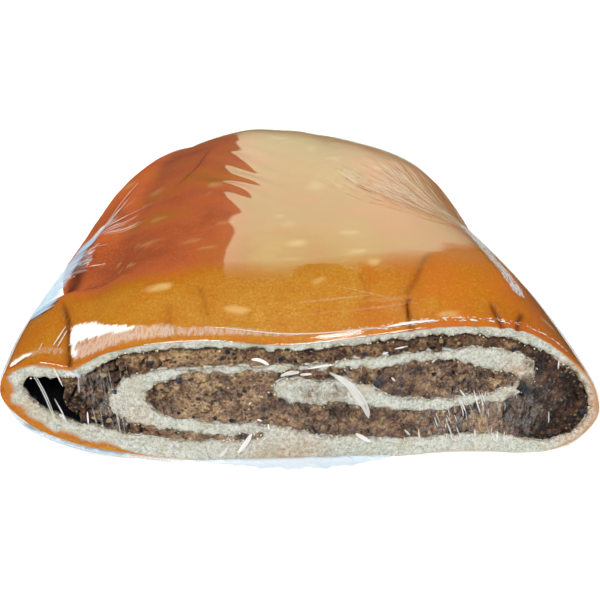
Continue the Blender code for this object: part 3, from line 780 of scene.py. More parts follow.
# The spiral's edge with the small bites and tears that the knife leaves: noise along its normal.
def raggedSpiral():
    spiral = fillingSection()
    spiral = respace(spiral, np.full(len(spiral), 0.55 * mm))
    spot = behindCut(spiral, 0.0)
    bite = 0.6 * valueNoise(spot, 2.4 * mm, 41) + 0.4 * valueNoise(spot, 1.1 * mm, 42)
    return spiral + outward(spiral) * (dough["ragged"] * bite)[:, None]


spiral = raggedSpiral()
crustEdge = buildDough(spiral)

filling = dict(
    spacing=0.42 * mm, clearance=0.03 * mm, gapTop=0.55 * mm,
    # rows of its walls, in mm behind the cut
    wallY=[0.4, 1.0, 2.0, 4, 7, 12, 20, 30, 42, 55, 75, 100, 130, 160, 180, 190],
    # relief of the cut and the shares in it: rest, lumps, grit, grain and crevices, deeper by the void
    relief=0.50 * mm, rest=0.5, lumps=0.55, grit=0.45, grain=0.30, crevice=1.5, creviceByVoid=1.6,
    edgeLean=0.20 * mm, crackDepth=4 * mm, crackWidth=0.68, crackRough=0.30,
    crack=[(47.4, 16.8), (48.4, 14.1), (48.0, 12.3), (48.3, 9.4)],
)
# Grain of its patterns: size in mm, detail and roughness of each noise.
fillingGrain = dict(patch=(4.2, 7.0, 0.70), red=(3.6, 5.0, 0.66), kernel=(1.9, 4.0, 0.65),
                    fine=(0.60, 4.0, 0.70), torn=(0.9, 3.0, 0.6))
gritSize = 0.6            # mm


# Ground walnuts cooked in milk and sugar: moist, olive to reddish brown, with dark skins and pale kernel,
# and with painted shade in its pores, hollows and crack.
def fillingMaterial():
    m = newMaterial("ground walnut filling")
    at = addNode(m, "ShaderNodeTexCoord").outputs["Object"]
    value = {key: addNode(m, "ShaderNodeAttribute", attribute_name=key).outputs["Fac"]
             for key in ("pit", "tone", "edge")}
    noise = {}
    for key, (size, detail, rough) in fillingGrain.items():
        moved = addNode(m, "ShaderNodeMapping", {"Vector": at, "Location": (size, 0.0, 0.0)})
        noise[key] = addNode(m, "ShaderNodeTexNoise", {
            "Vector": moved, "Scale": 1 / (size * mm), "Detail": detail, "Roughness": rough})
    cells = addNode(m, "ShaderNodeTexVoronoi", {"Vector": at, "Scale": 1 / (gritSize * mm)})
    each = addNode(m, "ShaderNodeSeparateColor", {"Color": cells.outputs["Color"]}).outputs
    patch = addNode(m, "ShaderNodeMath", {0: noise["patch"], 1: value["tone"]}, operation="ADD")
    colour = addNode(m, "ShaderNodeValToRGB", {"Fac": patch}, stops=[
        (0.33, "#261A14"), (0.43, "#4A3526"), (0.51, "#6B5039"), (0.59, "#84684A"), (0.70, "#A08560")])
    edge = addNode(m, "ShaderNodeMath", {0: noise["torn"], 1: value["edge"]}, operation="ADD")
    # red skins, pale kernel, three sorts of grit, and crumb of the dough along the edge
    for source, low, high, most, hexColour in (
            (noise["red"], 0.50, 0.64, 0.50, "#684430"), (noise["kernel"], 0.58, 0.70, 0.55, "#9C8259"),
            (each["Red"], 0.92, 0.96, 0.26, "#A08E66"), (each["Green"], 0.86, 0.92, 0.60, "#2C1A12"),
            (each["Blue"], 0.93, 0.96, 0.70, "#1C1B24"), (edge, 0.92, 1.15, 0.80, "#A09478")):
        share = addNode(m, "ShaderNodeMapRange", {
            "Value": source, "From Min": low, "From Max": high, "To Max": most})
        colour = addNode(m, "ShaderNodeMix", {"Factor": share, "A": colour, "B": linear(hexColour)},
                         data_type="RGBA")
    # darker in the pores between the grains and lighter on them, on the noise that also gives the bump:
    # painted shade in the pores and painted light on the grains
    light = addNode(m, "ShaderNodeMapRange", {
        "Value": noise["fine"], "From Min": 0.34, "From Max": 0.62, "To Min": 0.50, "To Max": 1.66})
    colour = addNode(m, "ShaderNodeHueSaturation", {"Color": colour, "Value": light})
    # the pit value paints shade near black
    colour = addNode(m, "ShaderNodeMix", {"Factor": value["pit"], "A": colour, "B": linear("#070506")},
                     data_type="RGBA")
    height = addNode(m, "ShaderNodeMath", {0: noise["kernel"], 1: 0.8, 2: noise["fine"]},
                     operation="MULTIPLY_ADD")
    bump = addNode(m, "ShaderNodeBump", {"Height": height, "Strength": 1.0, "Distance": 0.45 * mm})
    shader = addNode(m, "ShaderNodeBsdfPrincipled", {
        "Base Color": colour, "Roughness": 0.55, "Normal": bump, "IOR": 1.45, "Specular IOR Level": 0.3})
    addNode(m, "ShaderNodeOutputMaterial", {"Surface": shader})
    return m


# Leaves the void open at the left of the cut: what lies beyond its edge is drawn in to it, less so the
# deeper it is, and bulges in lumps.
def squeezeVoid(x, z, y):
    x, z, y = np.broadcast_arrays(x, z, y)
    closed = smoothStep(y, 0.0, loaf["voidDepth"])
    edgeX, edgeZ = loaf["voidEdge"]
    keptX, keptZ = (kept + (1 - kept) * closed for kept in loaf["voidKept"])
    beyond = x < edgeX
    lumps = 0.8 * mm * (1.3 + np.sin(z / (1.3 * mm)) + 0.3 * np.sin(z / (0.6 * mm)))
    lumps = lumps * smoothStep(edgeX - x, 0.0, 3 * mm) * (1 - closed)
    squeezedX = np.where(beyond, edgeX + (x - edgeX) * keptX - lumps, x)
    return squeezedX, np.where(beyond, edgeZ + (z - edgeZ) * keptZ, z)


# How far the mass lies behind the plane of the cut, and how deep in shade, which is painted near black in
# the crack, in the deepest hollows and along the top edge: lumps, grit and grain, crevices between large
# lumps, an edge that leans back, and one crack.
def massDepth(face, toEdge):
    spot = behindCut(face, 0.0)
    stray = np.stack([valueNoise(spot, 1.5 * mm, 58), valueNoise(spot, 1.5 * mm, 59)], axis=1)
    lump, nextLump = cellNoise(face + 0.6 * mm * stray, 3.4 * mm, 60)
    crevice = 1 - smoothStep(nextLump - lump, 0.0, 0.22)
    crevice = crevice * smoothStep(valueNoise(spot, 6 * mm, 50), -0.25, 0.35)
    byVoid = smoothStep(-face[:, 0], 38 * mm, 46 * mm)
    depth = filling["rest"] + filling["lumps"] * valueNoise(spot, 2.3 * mm, 52)
    depth = depth + filling["grit"] * valueNoise(spot, 1.0 * mm, 53)
    depth = depth + filling["grain"] * valueNoise(spot, 0.6 * mm, 54)
    depth = depth + crevice * (filling["crevice"] + filling["creviceByVoid"] * byVoid)
    depth = filling["relief"] * np.maximum(depth, 0.0)
    depth = depth + filling["edgeLean"] * (1 - smoothStep(toEdge, 0.0, 1.0 * mm))

    toCrack, along = trackDistance(face[:, 0], face[:, 1], np.array(filling["crack"]) * mm)
    width = mm * (filling["crackWidth"] + filling["crackRough"] * valueNoise(spot, 1.5 * mm, 55))
    width = width * (0.45 + 0.55 * np.sin(np.pi * np.clip(along, 0.12, 0.88)))
    inCrack = 1 - smoothStep(toCrack, width * 0.7, width * 1.3)
    depth = depth + filling["crackDepth"] * inCrack
    # painted shade: near black in the crack and the deepest hollows, and along the top edge under the crust
    pit = np.maximum(inCrack, 0.85 * smoothStep(depth, 0.60 * mm, 1.15 * mm))
    atEdge = 0.9 * (1 - smoothStep(toEdge, 0.0, 0.7 * mm))
    return depth, np.maximum(pit, atEdge * smoothStep(face[:, 1], 29 * mm, 31 * mm))


# The filling: the spiral less a clearance, lofted to its end, with a rough cut. Gives that cut's outline.
def buildFilling(spiral):
    out = outward(spiral)
    gap = filling["gapTop"] * smoothStep(out[:, 1], 0.3, 0.9) * smoothStep(spiral[:, 1], 29 * mm, 31 * mm)
    gap = gap * (0.5 + 0.5 * valueNoise(behindCut(spiral, 0.0), 5 * mm, 51))
    shrunk = spiral - out * (filling["clearance"] + gap)[:, None]
    front = np.stack(squeezeVoid(shrunk[:, 0], shrunk[:, 1], 0.0), axis=1)
    keep = np.linalg.norm(np.roll(front, -1, axis=0) - front, axis=1) > 0.12 * mm
    front, shrunk = front[keep], shrunk[keep]
    face, triangles = fillRegion([front], filling["spacing"], 13, lambda p: isInside(p, front))
    toEdge = nearest(face, front)[0]
    depth, pit = massDepth(face, toEdge)
    cut = behindCut(face, depth)
    count = len(front)

    rows = np.array(filling["wallY"]) * mm
    x, z = squeezeVoid(shrunk[:, 0], shrunk[:, 1], rows[:, None])
    lean = depth[:count] * (1 - smoothStep(rows, 0.0, loaf["reliefRun"]))[:, None]
    walls = leftDip(loafForm(x, z, rows[:, None] + lean))
    rough = 0.45 * mm * valueNoise(walls, 2.2 * mm, 56) + 0.2 * mm * valueNoise(walls, 0.9 * mm, 57)
    walls = walls + gridNormals(walls) * (rough - 0.15 * mm)[:, :, None]
    walls = np.concatenate([cut[None, :count], walls])
    back, backTriangles = fillRegion([shrunk], loaf["endSpacing"], 14, lambda p: isInside(p, shrunk))
    backPoints = loafForm(back[:, 0], back[:, 1], rows[-1])

    everything = np.vstack([walls.reshape(-1, 3), cut[count:], backPoints[count:]])
    wallsEnd = walls.shape[0] * count
    onFace = faceNumbers(0, count, wallsEnd, len(face))
    onBack = faceNumbers(wallsEnd - count, count, wallsEnd + len(face) - count, len(back))
    faces = np.vstack([ringFaces(len(walls), count), onFace[triangles], onBack[backTriangles][:, ::-1]])
    # darker to the right, redder and darker beside the void, and lighter left of the middle
    across = face[:, 0]
    tone = -0.35 * smoothStep(across, 47 * mm, 57 * mm) - 0.08 * smoothStep(-across, 40 * mm, 50 * mm)
    tone = tone + 0.09 * smoothStep(-across, 0.0, 20 * mm) * smoothStep(across, -40 * mm, -30 * mm)
    pits, tones, edges = np.zeros((3, len(everything)))
    pits[onFace], tones[onFace] = pit, tone
    edges[onFace] = 0.42 * (1 - smoothStep(toEdge, 0.2 * mm, 1.6 * mm)) * (1 - pit)
    values = dict(pit=pits, tone=tones, edge=edges)
    makePiece("nut_mass", everything, faces, fillingMaterial(), "nut_filling", values)
    return front


fillingFront = buildFilling(spiral)

# Bits that lie in the cut: how many, half sizes and how proud they stand in mm, colours and the node.
bits = dict(
    nut_kernel_bits=dict(count=70, size=(0.25, 1.0), proud=(-0.34, 0.06), seed=61, node="nut_filling",
                         colours=("#6A563C", "#94805A", "#7C6846")),
    nut_skin_bits=dict(count=220, size=(0.25, 0.8), proud=(-0.30, 0.08), seed=62, node="nut_filling",
                       colours=("#3E261C", "#5A3828", "#33201A")),
    dark_nut_bits=dict(count=85, size=(0.25, 1.05), proud=(-0.22, 0.06), seed=63, node="nut_filling",
                       colours=("#1C1B24", "#2E2C36", "#141117")),
    crumbs=dict(count=420, size=(0.12, 0.34), proud=(-0.10, 0.08), seed=64, node="dough",
                colours=("#B9B096", "#D4D0BC", "#A88E66")),
)
# Their form: how far a ball's points are pushed, its stretch, how flat it lies, how proud set ones stand.
bitForm = dict(pushed=(0.72, 1.12), stretched=(0.6, 1.15), flat=0.5, setProud=0.12 * mm)
# The largest dark bits, where the cut shows them: x, z and half size.
darkBits = [
    (50.4, 19.8, 3.3), (52.4, 18.9, 2.2), (37.5, 12.4, 1.6), (28.0, 31.6, 0.9), (-31.0, 24.0, 1.2),
    (-7.0, 29.5, 1.0), (-10.0, 19.5, 0.9),
    (-37.0, 29.0, 1.0), (67.0, 12.4, 1.3), (60.0, 23.0, 0.8), (16.0, 22.0, 1.3), (47.0, 30.6, 0.9),
    (-46.0, 21.5, 0.9), (54.0, 29.0, 0.7), (64.0, 9.8, 1.0), (29.0, 24.6, 0.8),
]


# Broken nut and crumb: dull facets, each bit in one of three tones.
def bitMaterial(name, colours):
    m = newMaterial(name.replace("_", " "))
    tone = addNode(m, "ShaderNodeAttribute", attribute_name="tone").outputs["Fac"]
    at = addNode(m, "ShaderNodeTexCoord").outputs["Object"]
    fine = addNode(m, "ShaderNodeTexNoise", {"Vector": at, "Scale": 1 / (0.5 * mm), "Detail": 3.0})
    shade = addNode(m, "ShaderNodeMath", {0: fine, 1: 0.5, 2: tone}, operation="MULTIPLY_ADD")
    colour = addNode(m, "ShaderNodeValToRGB", {"Fac": shade}, stops=list(zip((0.2, 0.65, 1.0), colours)))
    bump = addNode(m, "ShaderNodeBump", {"Height": fine, "Strength": 0.6, "Distance": 0.15 * mm})
    shader = addNode(m, "ShaderNodeBsdfPrincipled", {
        "Base Color": colour, "Roughness": 0.55, "Normal": bump, "IOR": 1.45, "Specular IOR Level": 0.3})
    addNode(m, "ShaderNodeOutputMaterial", {"Surface": shader})
    return m


# Places for nut bits: evenly over the filling's cut, clear of its edge and its crack, set ones first.
def nutPlaces(draw, look, placed):
    low, high = fillingFront.min(axis=0), fillingFront.max(axis=0)
    centre = draw.uniform(low, high, (look["count"] * 3, 2))
    half = look["size"][0] + (look["size"][1] - look["size"][0]) * draw.uniform(0, 1, len(centre)) ** 1.6
    fits = isInside(centre, fillingFront) & (nearest(centre, fillingFront)[0] > half * 0.7 * mm)
    fits &= trackDistance(centre[:, 0], centre[:, 1], np.array(filling["crack"]) * mm)[0] > (half + 0.5) * mm
    centre, half = centre[fits][:look["count"]], half[fits][:look["count"]]
    if placed:
        centre = np.vstack([np.array(placed)[:, :2] * mm, centre])
        half = np.concatenate([np.array(placed)[:, 2], half])
    return centre, half


# Places for crumbs, along the torn edges of the dough beside the filling and its foot.
def crumbPlaces(draw, look):
    count, footCount = look["count"], look["count"] // 5
    foot = np.vstack([cutSection[:3, :2], cutSection[-3:, :2]]) + (0.0, 0.0006)
    foot = foot[draw.integers(0, len(foot), footCount)] + draw.normal(0, 1, (footCount, 2)) * (0.006, 0.0005)
    torn = spiral[draw.integers(0, len(spiral), count)] + draw.normal(0, 0.32 * mm, (count, 2))
    centre = np.vstack([torn, foot])
    half = look["size"][0] + (look["size"][1] - look["size"][0]) * draw.uniform(0, 1, len(centre)) ** 1.5
    fits = isInside(centre, crustEdge) & (nearest(centre, crustEdge)[0] > 0.5 * mm)
    return centre[fits], half[fits]


# Broken bits: each a ball with its points pushed in and out, stretched, turned and half sunk in the cut.
def buildBits(name, look, placed=()):
    draw = np.random.default_rng(look["seed"])
    work = bmesh.new()
    bmesh.ops.create_icosphere(work, subdivisions=2 if name == "dark_nut_bits" else 1, radius=1.0)
    base = np.array([v.co[:] for v in work.verts])
    faces = np.array([[v.index for v in f.verts] for f in work.faces])
    work.free()
    centre, half = crumbPlaces(draw, look) if name == "crumbs" else nutPlaces(draw, look, placed)
    count = len(centre)
    stretch = draw.uniform(*bitForm["stretched"], (count, 1, 3))
    pushed = base * draw.uniform(*bitForm["pushed"], (count, len(base), 1)) * stretch
    pushed = pushed * half[:, None, None] * mm
    turn = np.linalg.qr(draw.normal(size=(count, 3, 3)))[0]
    turn[:, :, 0] *= np.sign(np.linalg.det(turn))[:, None]
    turned = pushed @ np.swapaxes(turn, 1, 2)
    turned[:, :, 1] *= bitForm["flat"]
    front = turned[:, :, 1].min(axis=1)
    proud = draw.uniform(*look["proud"], count) * mm
    proud[:len(placed)] = bitForm["setProud"]
    turned[:, :, 0] += centre[:, :1]
    turned[:, :, 2] += centre[:, 1:]
    turned[:, :, 1] += (-front - proud)[:, None]
    triangles = (faces[None] + (np.arange(count) * len(base))[:, None, None]).reshape(-1, 3)
    tone = np.repeat(draw.uniform(0, 0.8, count), len(base))
    makePiece(name, turned.reshape(-1, 3), triangles, bitMaterial(name, look["colours"]), look["node"],
              dict(tone=tone), sharp=35)


for bitName, bitLook in bits.items():
    buildBits(bitName, bitLook, darkBits if bitName == "dark_nut_bits" else ())

film = dict(
    # the sheet: its gap to the crust, the bend round the cut's edge, and how high over the table it ends
    gap=0.34 * mm, thickness=0.05 * mm, bend=0.75 * mm, bendRows=6, openBelow=2.2 * mm, rim=0.7 * mm,
    topSpacing=0.8 * mm, footSpacing=2.4 * mm, footHalf=58 * mm, frontStep=0.8 * mm, backStep=1.35 * mm,
    frontRun=16 * mm, endRows=34, faceSpacing=1.0 * mm,
    # the milky coat's colours: warm for painted highlights, cool for painted reflections of the room and
    # painted shade
    mostMirror=0.38, cutMirror=0.14, warmMilkAndPaintedLight="#F8EFE2", coolMilkAndPaintedLight="#A6C4DA",
    # wrinkles in mm, on the crust and over the cut: from one to the next, length and height, and the height
    # where the film turns over the shoulder
    restPitch=0.9, restLength=24, restCrimp=0.002, cutPitch=0.40, cutLength=14, cutCrimp=0.004,
    shoulder=(1.0, 4.0, 18.0, 30.0), shoulderCrimp=0.020, gatherLength=22,
    # how far it hangs off the crust at the lower left of the cut: x, below which z, and how far back
    sag=1.25 * mm, sagFrom=(-74.0, -68.0, -36.0, -26.0), sagBelow=(13.0, 19.0), sagRun=(20.0, 60.0),
    # strokes: points along one and round it, how proud it is and how far in front of the sheet
    strokePoints=13, strokeSides=6, strokeProud=0.07 * mm, strokeGap=0.16 * mm,
    hemFrom=-29.0, hemTo=20.0, hemReach=3.6 * mm,
)

# Where the film is gathered its wrinkles run out of one point: x and y of the point, the span from it in
# which they rise and fade, the turns from +Y towards -X between which they lie, how much they turn on the
# way, degrees from each to the next, and the height.
gathers = [
    dict(at=(50.0, 40.0), span=(2, 10, 44, 78), turns=(-14, 2, 42, 58), curl=0.45, pitch=3.0, crimp=1.15),
    dict(at=(-66.0, 62.0), span=(1, 6, 18, 36), turns=(-88, -66, -8, 10), curl=0.0, pitch=2.2, crimp=0.12),
]
# Pleats across the top: middle, half sizes, direction across them, distance between them, and height.
pleats = [dict(at=(-21.0, 92.0), half=(13.0, 34.0), across=(0.80, 0.60), pitch=11.0, height=0.30)]

# Milky places on the film, from streaks at a cover of 0.3 to a full coat at 1: cover, milkiness, coolness,
# whether its streaks stand upright, the side of the left crease that it keeps to, half width at the start
# and the end, and a track, of x and y on the crust's film and of x and z over the cut. On the crust most of
# them are painted light: white and pink highlights on the front edge and the left shoulder, highlights at
# the gathers, and cool reflections of the room along both flanks.
crustHazesAndPaintedLight = [
    # painted highlights: the white patch on the left shoulder, pink along the front edge, white at the far
    # left
    (0.90, 0.92, 0.0, 1, 1, 2.3, 0.8, [(-54.8, 8.0), (-52.0, 7.6), (-49.6, 6.2), (-46.4, 5.0)]),
    (0.94, 0.92, 0.0, 1, 1, 1.0, 0.4, [(-47.5, 5.4), (-44.0, 4.4), (-41.0, 3.9)]),
    (0.92, 0.88, 0.0, 1, 1, 0.7, 0.5, [(-55.8, 7.0), (-55.2, 4.0), (-54.4, 2.4)]),
    (0.66, 0.30, 0.0, 1, 1, 2.2, 1.4, [(-54.5, 3.0), (-46.0, 2.4), (-38.6, 2.4), (-33.0, 2.1)]),
    (0.60, 0.28, 0.1, 1, 1, 1.1, 0.5, [(-33.0, 2.0), (-25.0, 1.5), (-12.0, 1.6), (-4.0, 1.5)]),
    (0.56, 0.18, 0.0, 1, -1, 1.3, 1.0, [(-67.0, 2.0), (-62.0, 3.0), (-57.0, 3.4)]),
    (0.90, 0.88, 0.0, 1, -1, 0.7, 0.4, [(-68.0, 0.8), (-66.4, 1.6), (-64.6, 2.6)]),
    (0.36, 0.14, 0.0, 0, 1, 3.0, 2.5, [(-8.0, 7.0), (8.0, 6.5), (24.0, 4.5)]),
    # painted highlights at the gather on the left, and cool painted reflections of the room along the left
    # flank
    (0.70, 0.72, 0.5, 0, 0, 1.6, 1.2, [(-64.4, 58.0), (-63.4, 66.0), (-62.6, 72.0)]),
    (0.40, 0.12, 0.4, 0, 0, 3.0, 2.0, [(-62.0, 70.0), (-60.0, 84.0), (-58.0, 98.0)]),
    (0.66, 0.86, 0.95, 0, 0, 3.8, 2.4, [(-66.6, 20.0), (-66.4, 40.0), (-65.8, 54.0), (-64.8, 62.0)]),
    (0.50, 0.40, 0.7, 0, 0, 2.4, 1.6, [(-60.8, 36.0), (-61.3, 44.0), (-62.0, 52.0)]),
    # painted reflections on the right shoulder and rim, and a fan of painted highlights behind them
    (0.62, 0.60, 0.45, 1, 0, 2.0, 2.0,
     [(47.0, 47.0), (47.4, 40.0), (47.6, 30.0), (48.0, 20.0), (50.0, 11.0)]),
    (0.56, 0.45, 0.50, 1, 0, 1.6, 1.2, [(60.0, 11.0), (64.5, 6.0), (67.5, 2.0)]),
    (0.38, 0.28, 0.2, 0, 0, 3.0, 2.0, [(47.0, 28.0), (52.0, 14.0), (57.0, 6.0)]),
    (0.50, 0.18, 0.0, 0, 0, 6.0, 16.0, [(46.0, 44.0), (36.0, 60.0), (26.0, 82.0)]),
    (0.54, 0.26, 0.3, 0, 0, 4.0, 4.0, [(50.5, 46.0), (55.0, 62.0), (57.0, 84.0), (54.0, 110.0)]),
]
# Where the film lies wet on the crust and mirrors nothing: x and y, half sizes, strength.
wetPatches = [(33.0, 10.5, 6.5, 8.5, 1.0), (39.5, 15.5, 7.5, 10.0, 1.0), (46.0, 21.0, 6.0, 9.0, 1.0),
              (13.8, 10.0, 2.2, 7.5, 0.6)]
cutHazes = [
    (0.52, 0.05, 0.6, 1, 0, 16.0, 14.0, [(-24.0, 16.0), (48.0, 16.0)]),
    (0.42, 0.12, 0.3, 1, 0, 7.0, 7.0, [(34.0, 12.0), (48.0, 11.0)]),
    (0.46, 0.16, 0.3, 1, 0, 5.0, 5.0, [(-50.0, 24.0), (-46.0, 14.0)]),
    (0.80, 0.55, 0.5, 1, 0, 0.9, 0.7, [(-55.0, 27.4), (-53.4, 26.4)]),
]

# Folds over the cut, whose white is partly painted glints: width and milkiness, then x and z along each.
cutFolds = [
    (0.34, 0.5, [(-63.7, 28.0), (-62.2, 22.6), (-61.0, 16.2), (-60.3, 13.2)]),
    (0.30, 0.5, [(-63.2, 27.9), (-61.5, 21.5), (-60.6, 15.7)]),
    (0.35, 0.7, [(-58.6, 29.1), (-57.3, 23.7)]),
    (0.35, 0.6, [(-59.8, 20.6), (-58.5, 15.7), (-58.0, 11.6)]),
    (0.80, 0.5, [(-59.4, 16.1), (-58.2, 14.5)]),
    (0.25, 0.5, [(-53.4, 26.2), (-53.9, 21.8)]),
    (0.40, 0.8, [(-52.8, 16.6), (-53.1, 12.8)]),
    (0.90, 0.9, [(-13.9, 30.0), (-11.9, 29.7), (-9.8, 28.3)]),
    (1.10, 0.6, [(-7.3, 25.2), (-5.0, 26.0), (-2.7, 26.2)]),
    (0.70, 0.7, [(-2.7, 25.5), (0.1, 25.6)]),
    (0.50, 0.7, [(-1.3, 27.0), (1.5, 27.5), (5.2, 28.0)]),
    (0.90, 0.4, [(4.0, 26.0), (6.2, 24.4), (7.4, 22.6)]),
    (2.00, 0.50, [(5.3, 25.4), (8.3, 22.8), (11.4, 18.6), (13.1, 15.4), (14.0, 12.4)]),
    (1.20, 0.7, [(-18.0, 2.8), (-16.0, 5.8), (-14.4, 8.9)]),
    (1.00, 0.5, [(-22.6, 1.7), (-20.4, 4.7)]),
    (1.20, 0.7, [(10.9, 8.0), (12.6, 6.7), (14.9, 5.1)]),
    (0.35, 0.7, [(35.3, 20.3), (37.0, 18.0)]),
    (0.30, 0.6, [(35.1, 18.0), (36.4, 15.1), (37.2, 12.3)]),
    (0.30, 0.7, [(35.8, 17.4), (37.5, 13.8)]),
    (0.30, 0.7, [(38.7, 20.2), (39.4, 17.9), (40.5, 14.9), (41.3, 12.8)]),
    (0.25, 0.6, [(40.0, 19.6), (41.4, 16.1), (41.9, 12.8)]),
    (0.25, 0.6, [(41.7, 19.6), (41.7, 17.2)]),
    (0.25, 0.5, [(32.8, 11.6), (34.1, 8.5), (35.5, 4.7)]),
    (0.40, 0.6, [(26.4, 8.7), (26.9, 5.6)]),
    (0.50, 0.5, [(22.9, 8.8), (24.5, 6.9)]),
    (0.35, 0.6, [(40.4, 8.3), (40.7, 6.1)]),
    (0.35, 0.7, [(46.2, 7.5), (46.4, 4.3)]),
    (0.30, 0.6, [(48.0, 7.4), (48.0, 4.0)]),
    (0.40, 0.6, [(57.9, 27.9), (58.2, 25.4)]),
    (0.40, 0.7, [(18.7, 24.2), (19.7, 23.1)]),
    (0.35, 0.7, [(27.9, 27.9), (28.7, 28.9)]),
    (0.30, 0.5, [(58.1, 13.2), (58.7, 9.5)]),
    (0.50, 0.9, [(-13.0, 13.0), (-11.9, 12.4)]),
    (0.45, 0.9, [(-10.4, 11.5), (-10.2, 9.9)]),
    (0.40, 0.8, [(18.9, 31.9), (22.1, 32.6)]),
    (0.35, 0.8, [(16.2, 30.6), (17.6, 31.1)]),
]
# Folds on the crust: the same, with x and distance behind the cut. The last two are painted highlights along
# the crust's front edge.
crustFolds = [
    (0.35, 0.6, [(-59.7, 4.4), (-57.9, 10.3)]),
    (0.30, 0.6, [(-58.7, 4.1), (-57.4, 9.1)]),
    (0.22, 0.4, [(-62.4, 3.2), (-62.2, 5.3)]),
    (0.45, 0.7, [(-58.9, 38.1), (-56.6, 38.8), (-54.4, 39.0)]),
    (0.30, 0.6, [(-62.5, 67.7), (-60.4, 87.4)]),
    (0.28, 0.5, [(-61.4, 71.0), (-59.3, 97.4)]),
    (0.26, 0.6, [(-60.7, 70.4), (-56.1, 79.8)]),
    (0.24, 0.5, [(-60.7, 62.9), (-55.8, 66.9)]),
    (0.22, 0.4, [(-61.8, 52.4), (-57.2, 54.0)]),
    (0.20, 0.4, [(-59.6, 71.6), (-54.7, 81.0), (-48.0, 84.0)]),
    (0.30, 0.4, [(-62.1, 74.8), (-61.1, 97.7), (-59.4, 118.0)]),
    (0.12, 0.14, [(3.4, 11.2), (11.6, 8.5), (21.9, 5.2)]),
    (0.30, 0.45, [(-24.0, 2.2), (-12.0, 1.8), (-3.0, 1.5), (8.0, 1.0), (18.3, 0.8)]),
    (0.55, 0.75, [(16.5, 0.8), (20.5, 0.9), (28.4, 0.8)]),
]
# Fields of finer strokes, whose white is partly painted glints: how many, the middle and half sizes of the
# field or the span from the middle in which they start, turns from upright to the left in degrees, and
# ranges of length, width and milkiness.
cutFields = [
    dict(count=22, middle=(-47.5, 19.0), half=(5.5, 7.0), turns=(-2, 3), length=(4, 13),
         width=(0.10, 0.16), milkAndPaintedLight=(0.18, 0.36)),
    dict(count=30, middle=(39.0, 11.5), half=(9.0, 6.5), turns=(6, 30), length=(1.2, 4.5),
         width=(0.10, 0.22), milkAndPaintedLight=(0.35, 0.75)),
    dict(count=16, middle=(36.0, 5.5), half=(14.0, 1.5), turns=(-10, 25), length=(0.8, 2.2),
         width=(0.12, 0.3), milkAndPaintedLight=(0.4, 0.8)),
    dict(count=18, middle=(-10.0, 15.5), half=(11.0, 7.5), turns=(-70, 70), length=(0.3, 0.9),
         width=(0.14, 0.34), milkAndPaintedLight=(0.5, 0.9)),
    dict(count=12, middle=(-16.0, 7.6), half=(5.0, 1.0), turns=(-70, 70), length=(0.4, 1.3),
         width=(0.16, 0.4), milkAndPaintedLight=(0.5, 0.8)),
]
crustFields = [
    # the first two fields are painted glints along the crust's front edge
    dict(count=120, middle=(33.0, 0.9), half=(27.0, 0.40), turns=(-108, -72), length=(0.3, 1.3),
         width=(0.08, 0.22), milkAndPaintedLight=(0.4, 0.9)),
    dict(count=34, middle=(33.0, 1.0), half=(26.0, 0.5), turns=(-40, 40), length=(0.2, 0.6),
         width=(0.08, 0.18), milkAndPaintedLight=(0.4, 0.8)),
    dict(count=24, middle=(-64.0, 62.0), half=(0.5, 2.0), span=(2, 10), turns=(-76, -2), length=(3, 13),
         width=(0.10, 0.24), milkAndPaintedLight=(0.30, 0.65)),
    dict(count=26, middle=(-61.5, 44.0), half=(2.0, 12.0), turns=(-60, -20), length=(0.8, 2.4),
         width=(0.12, 0.3), milkAndPaintedLight=(0.4, 0.8)),
]
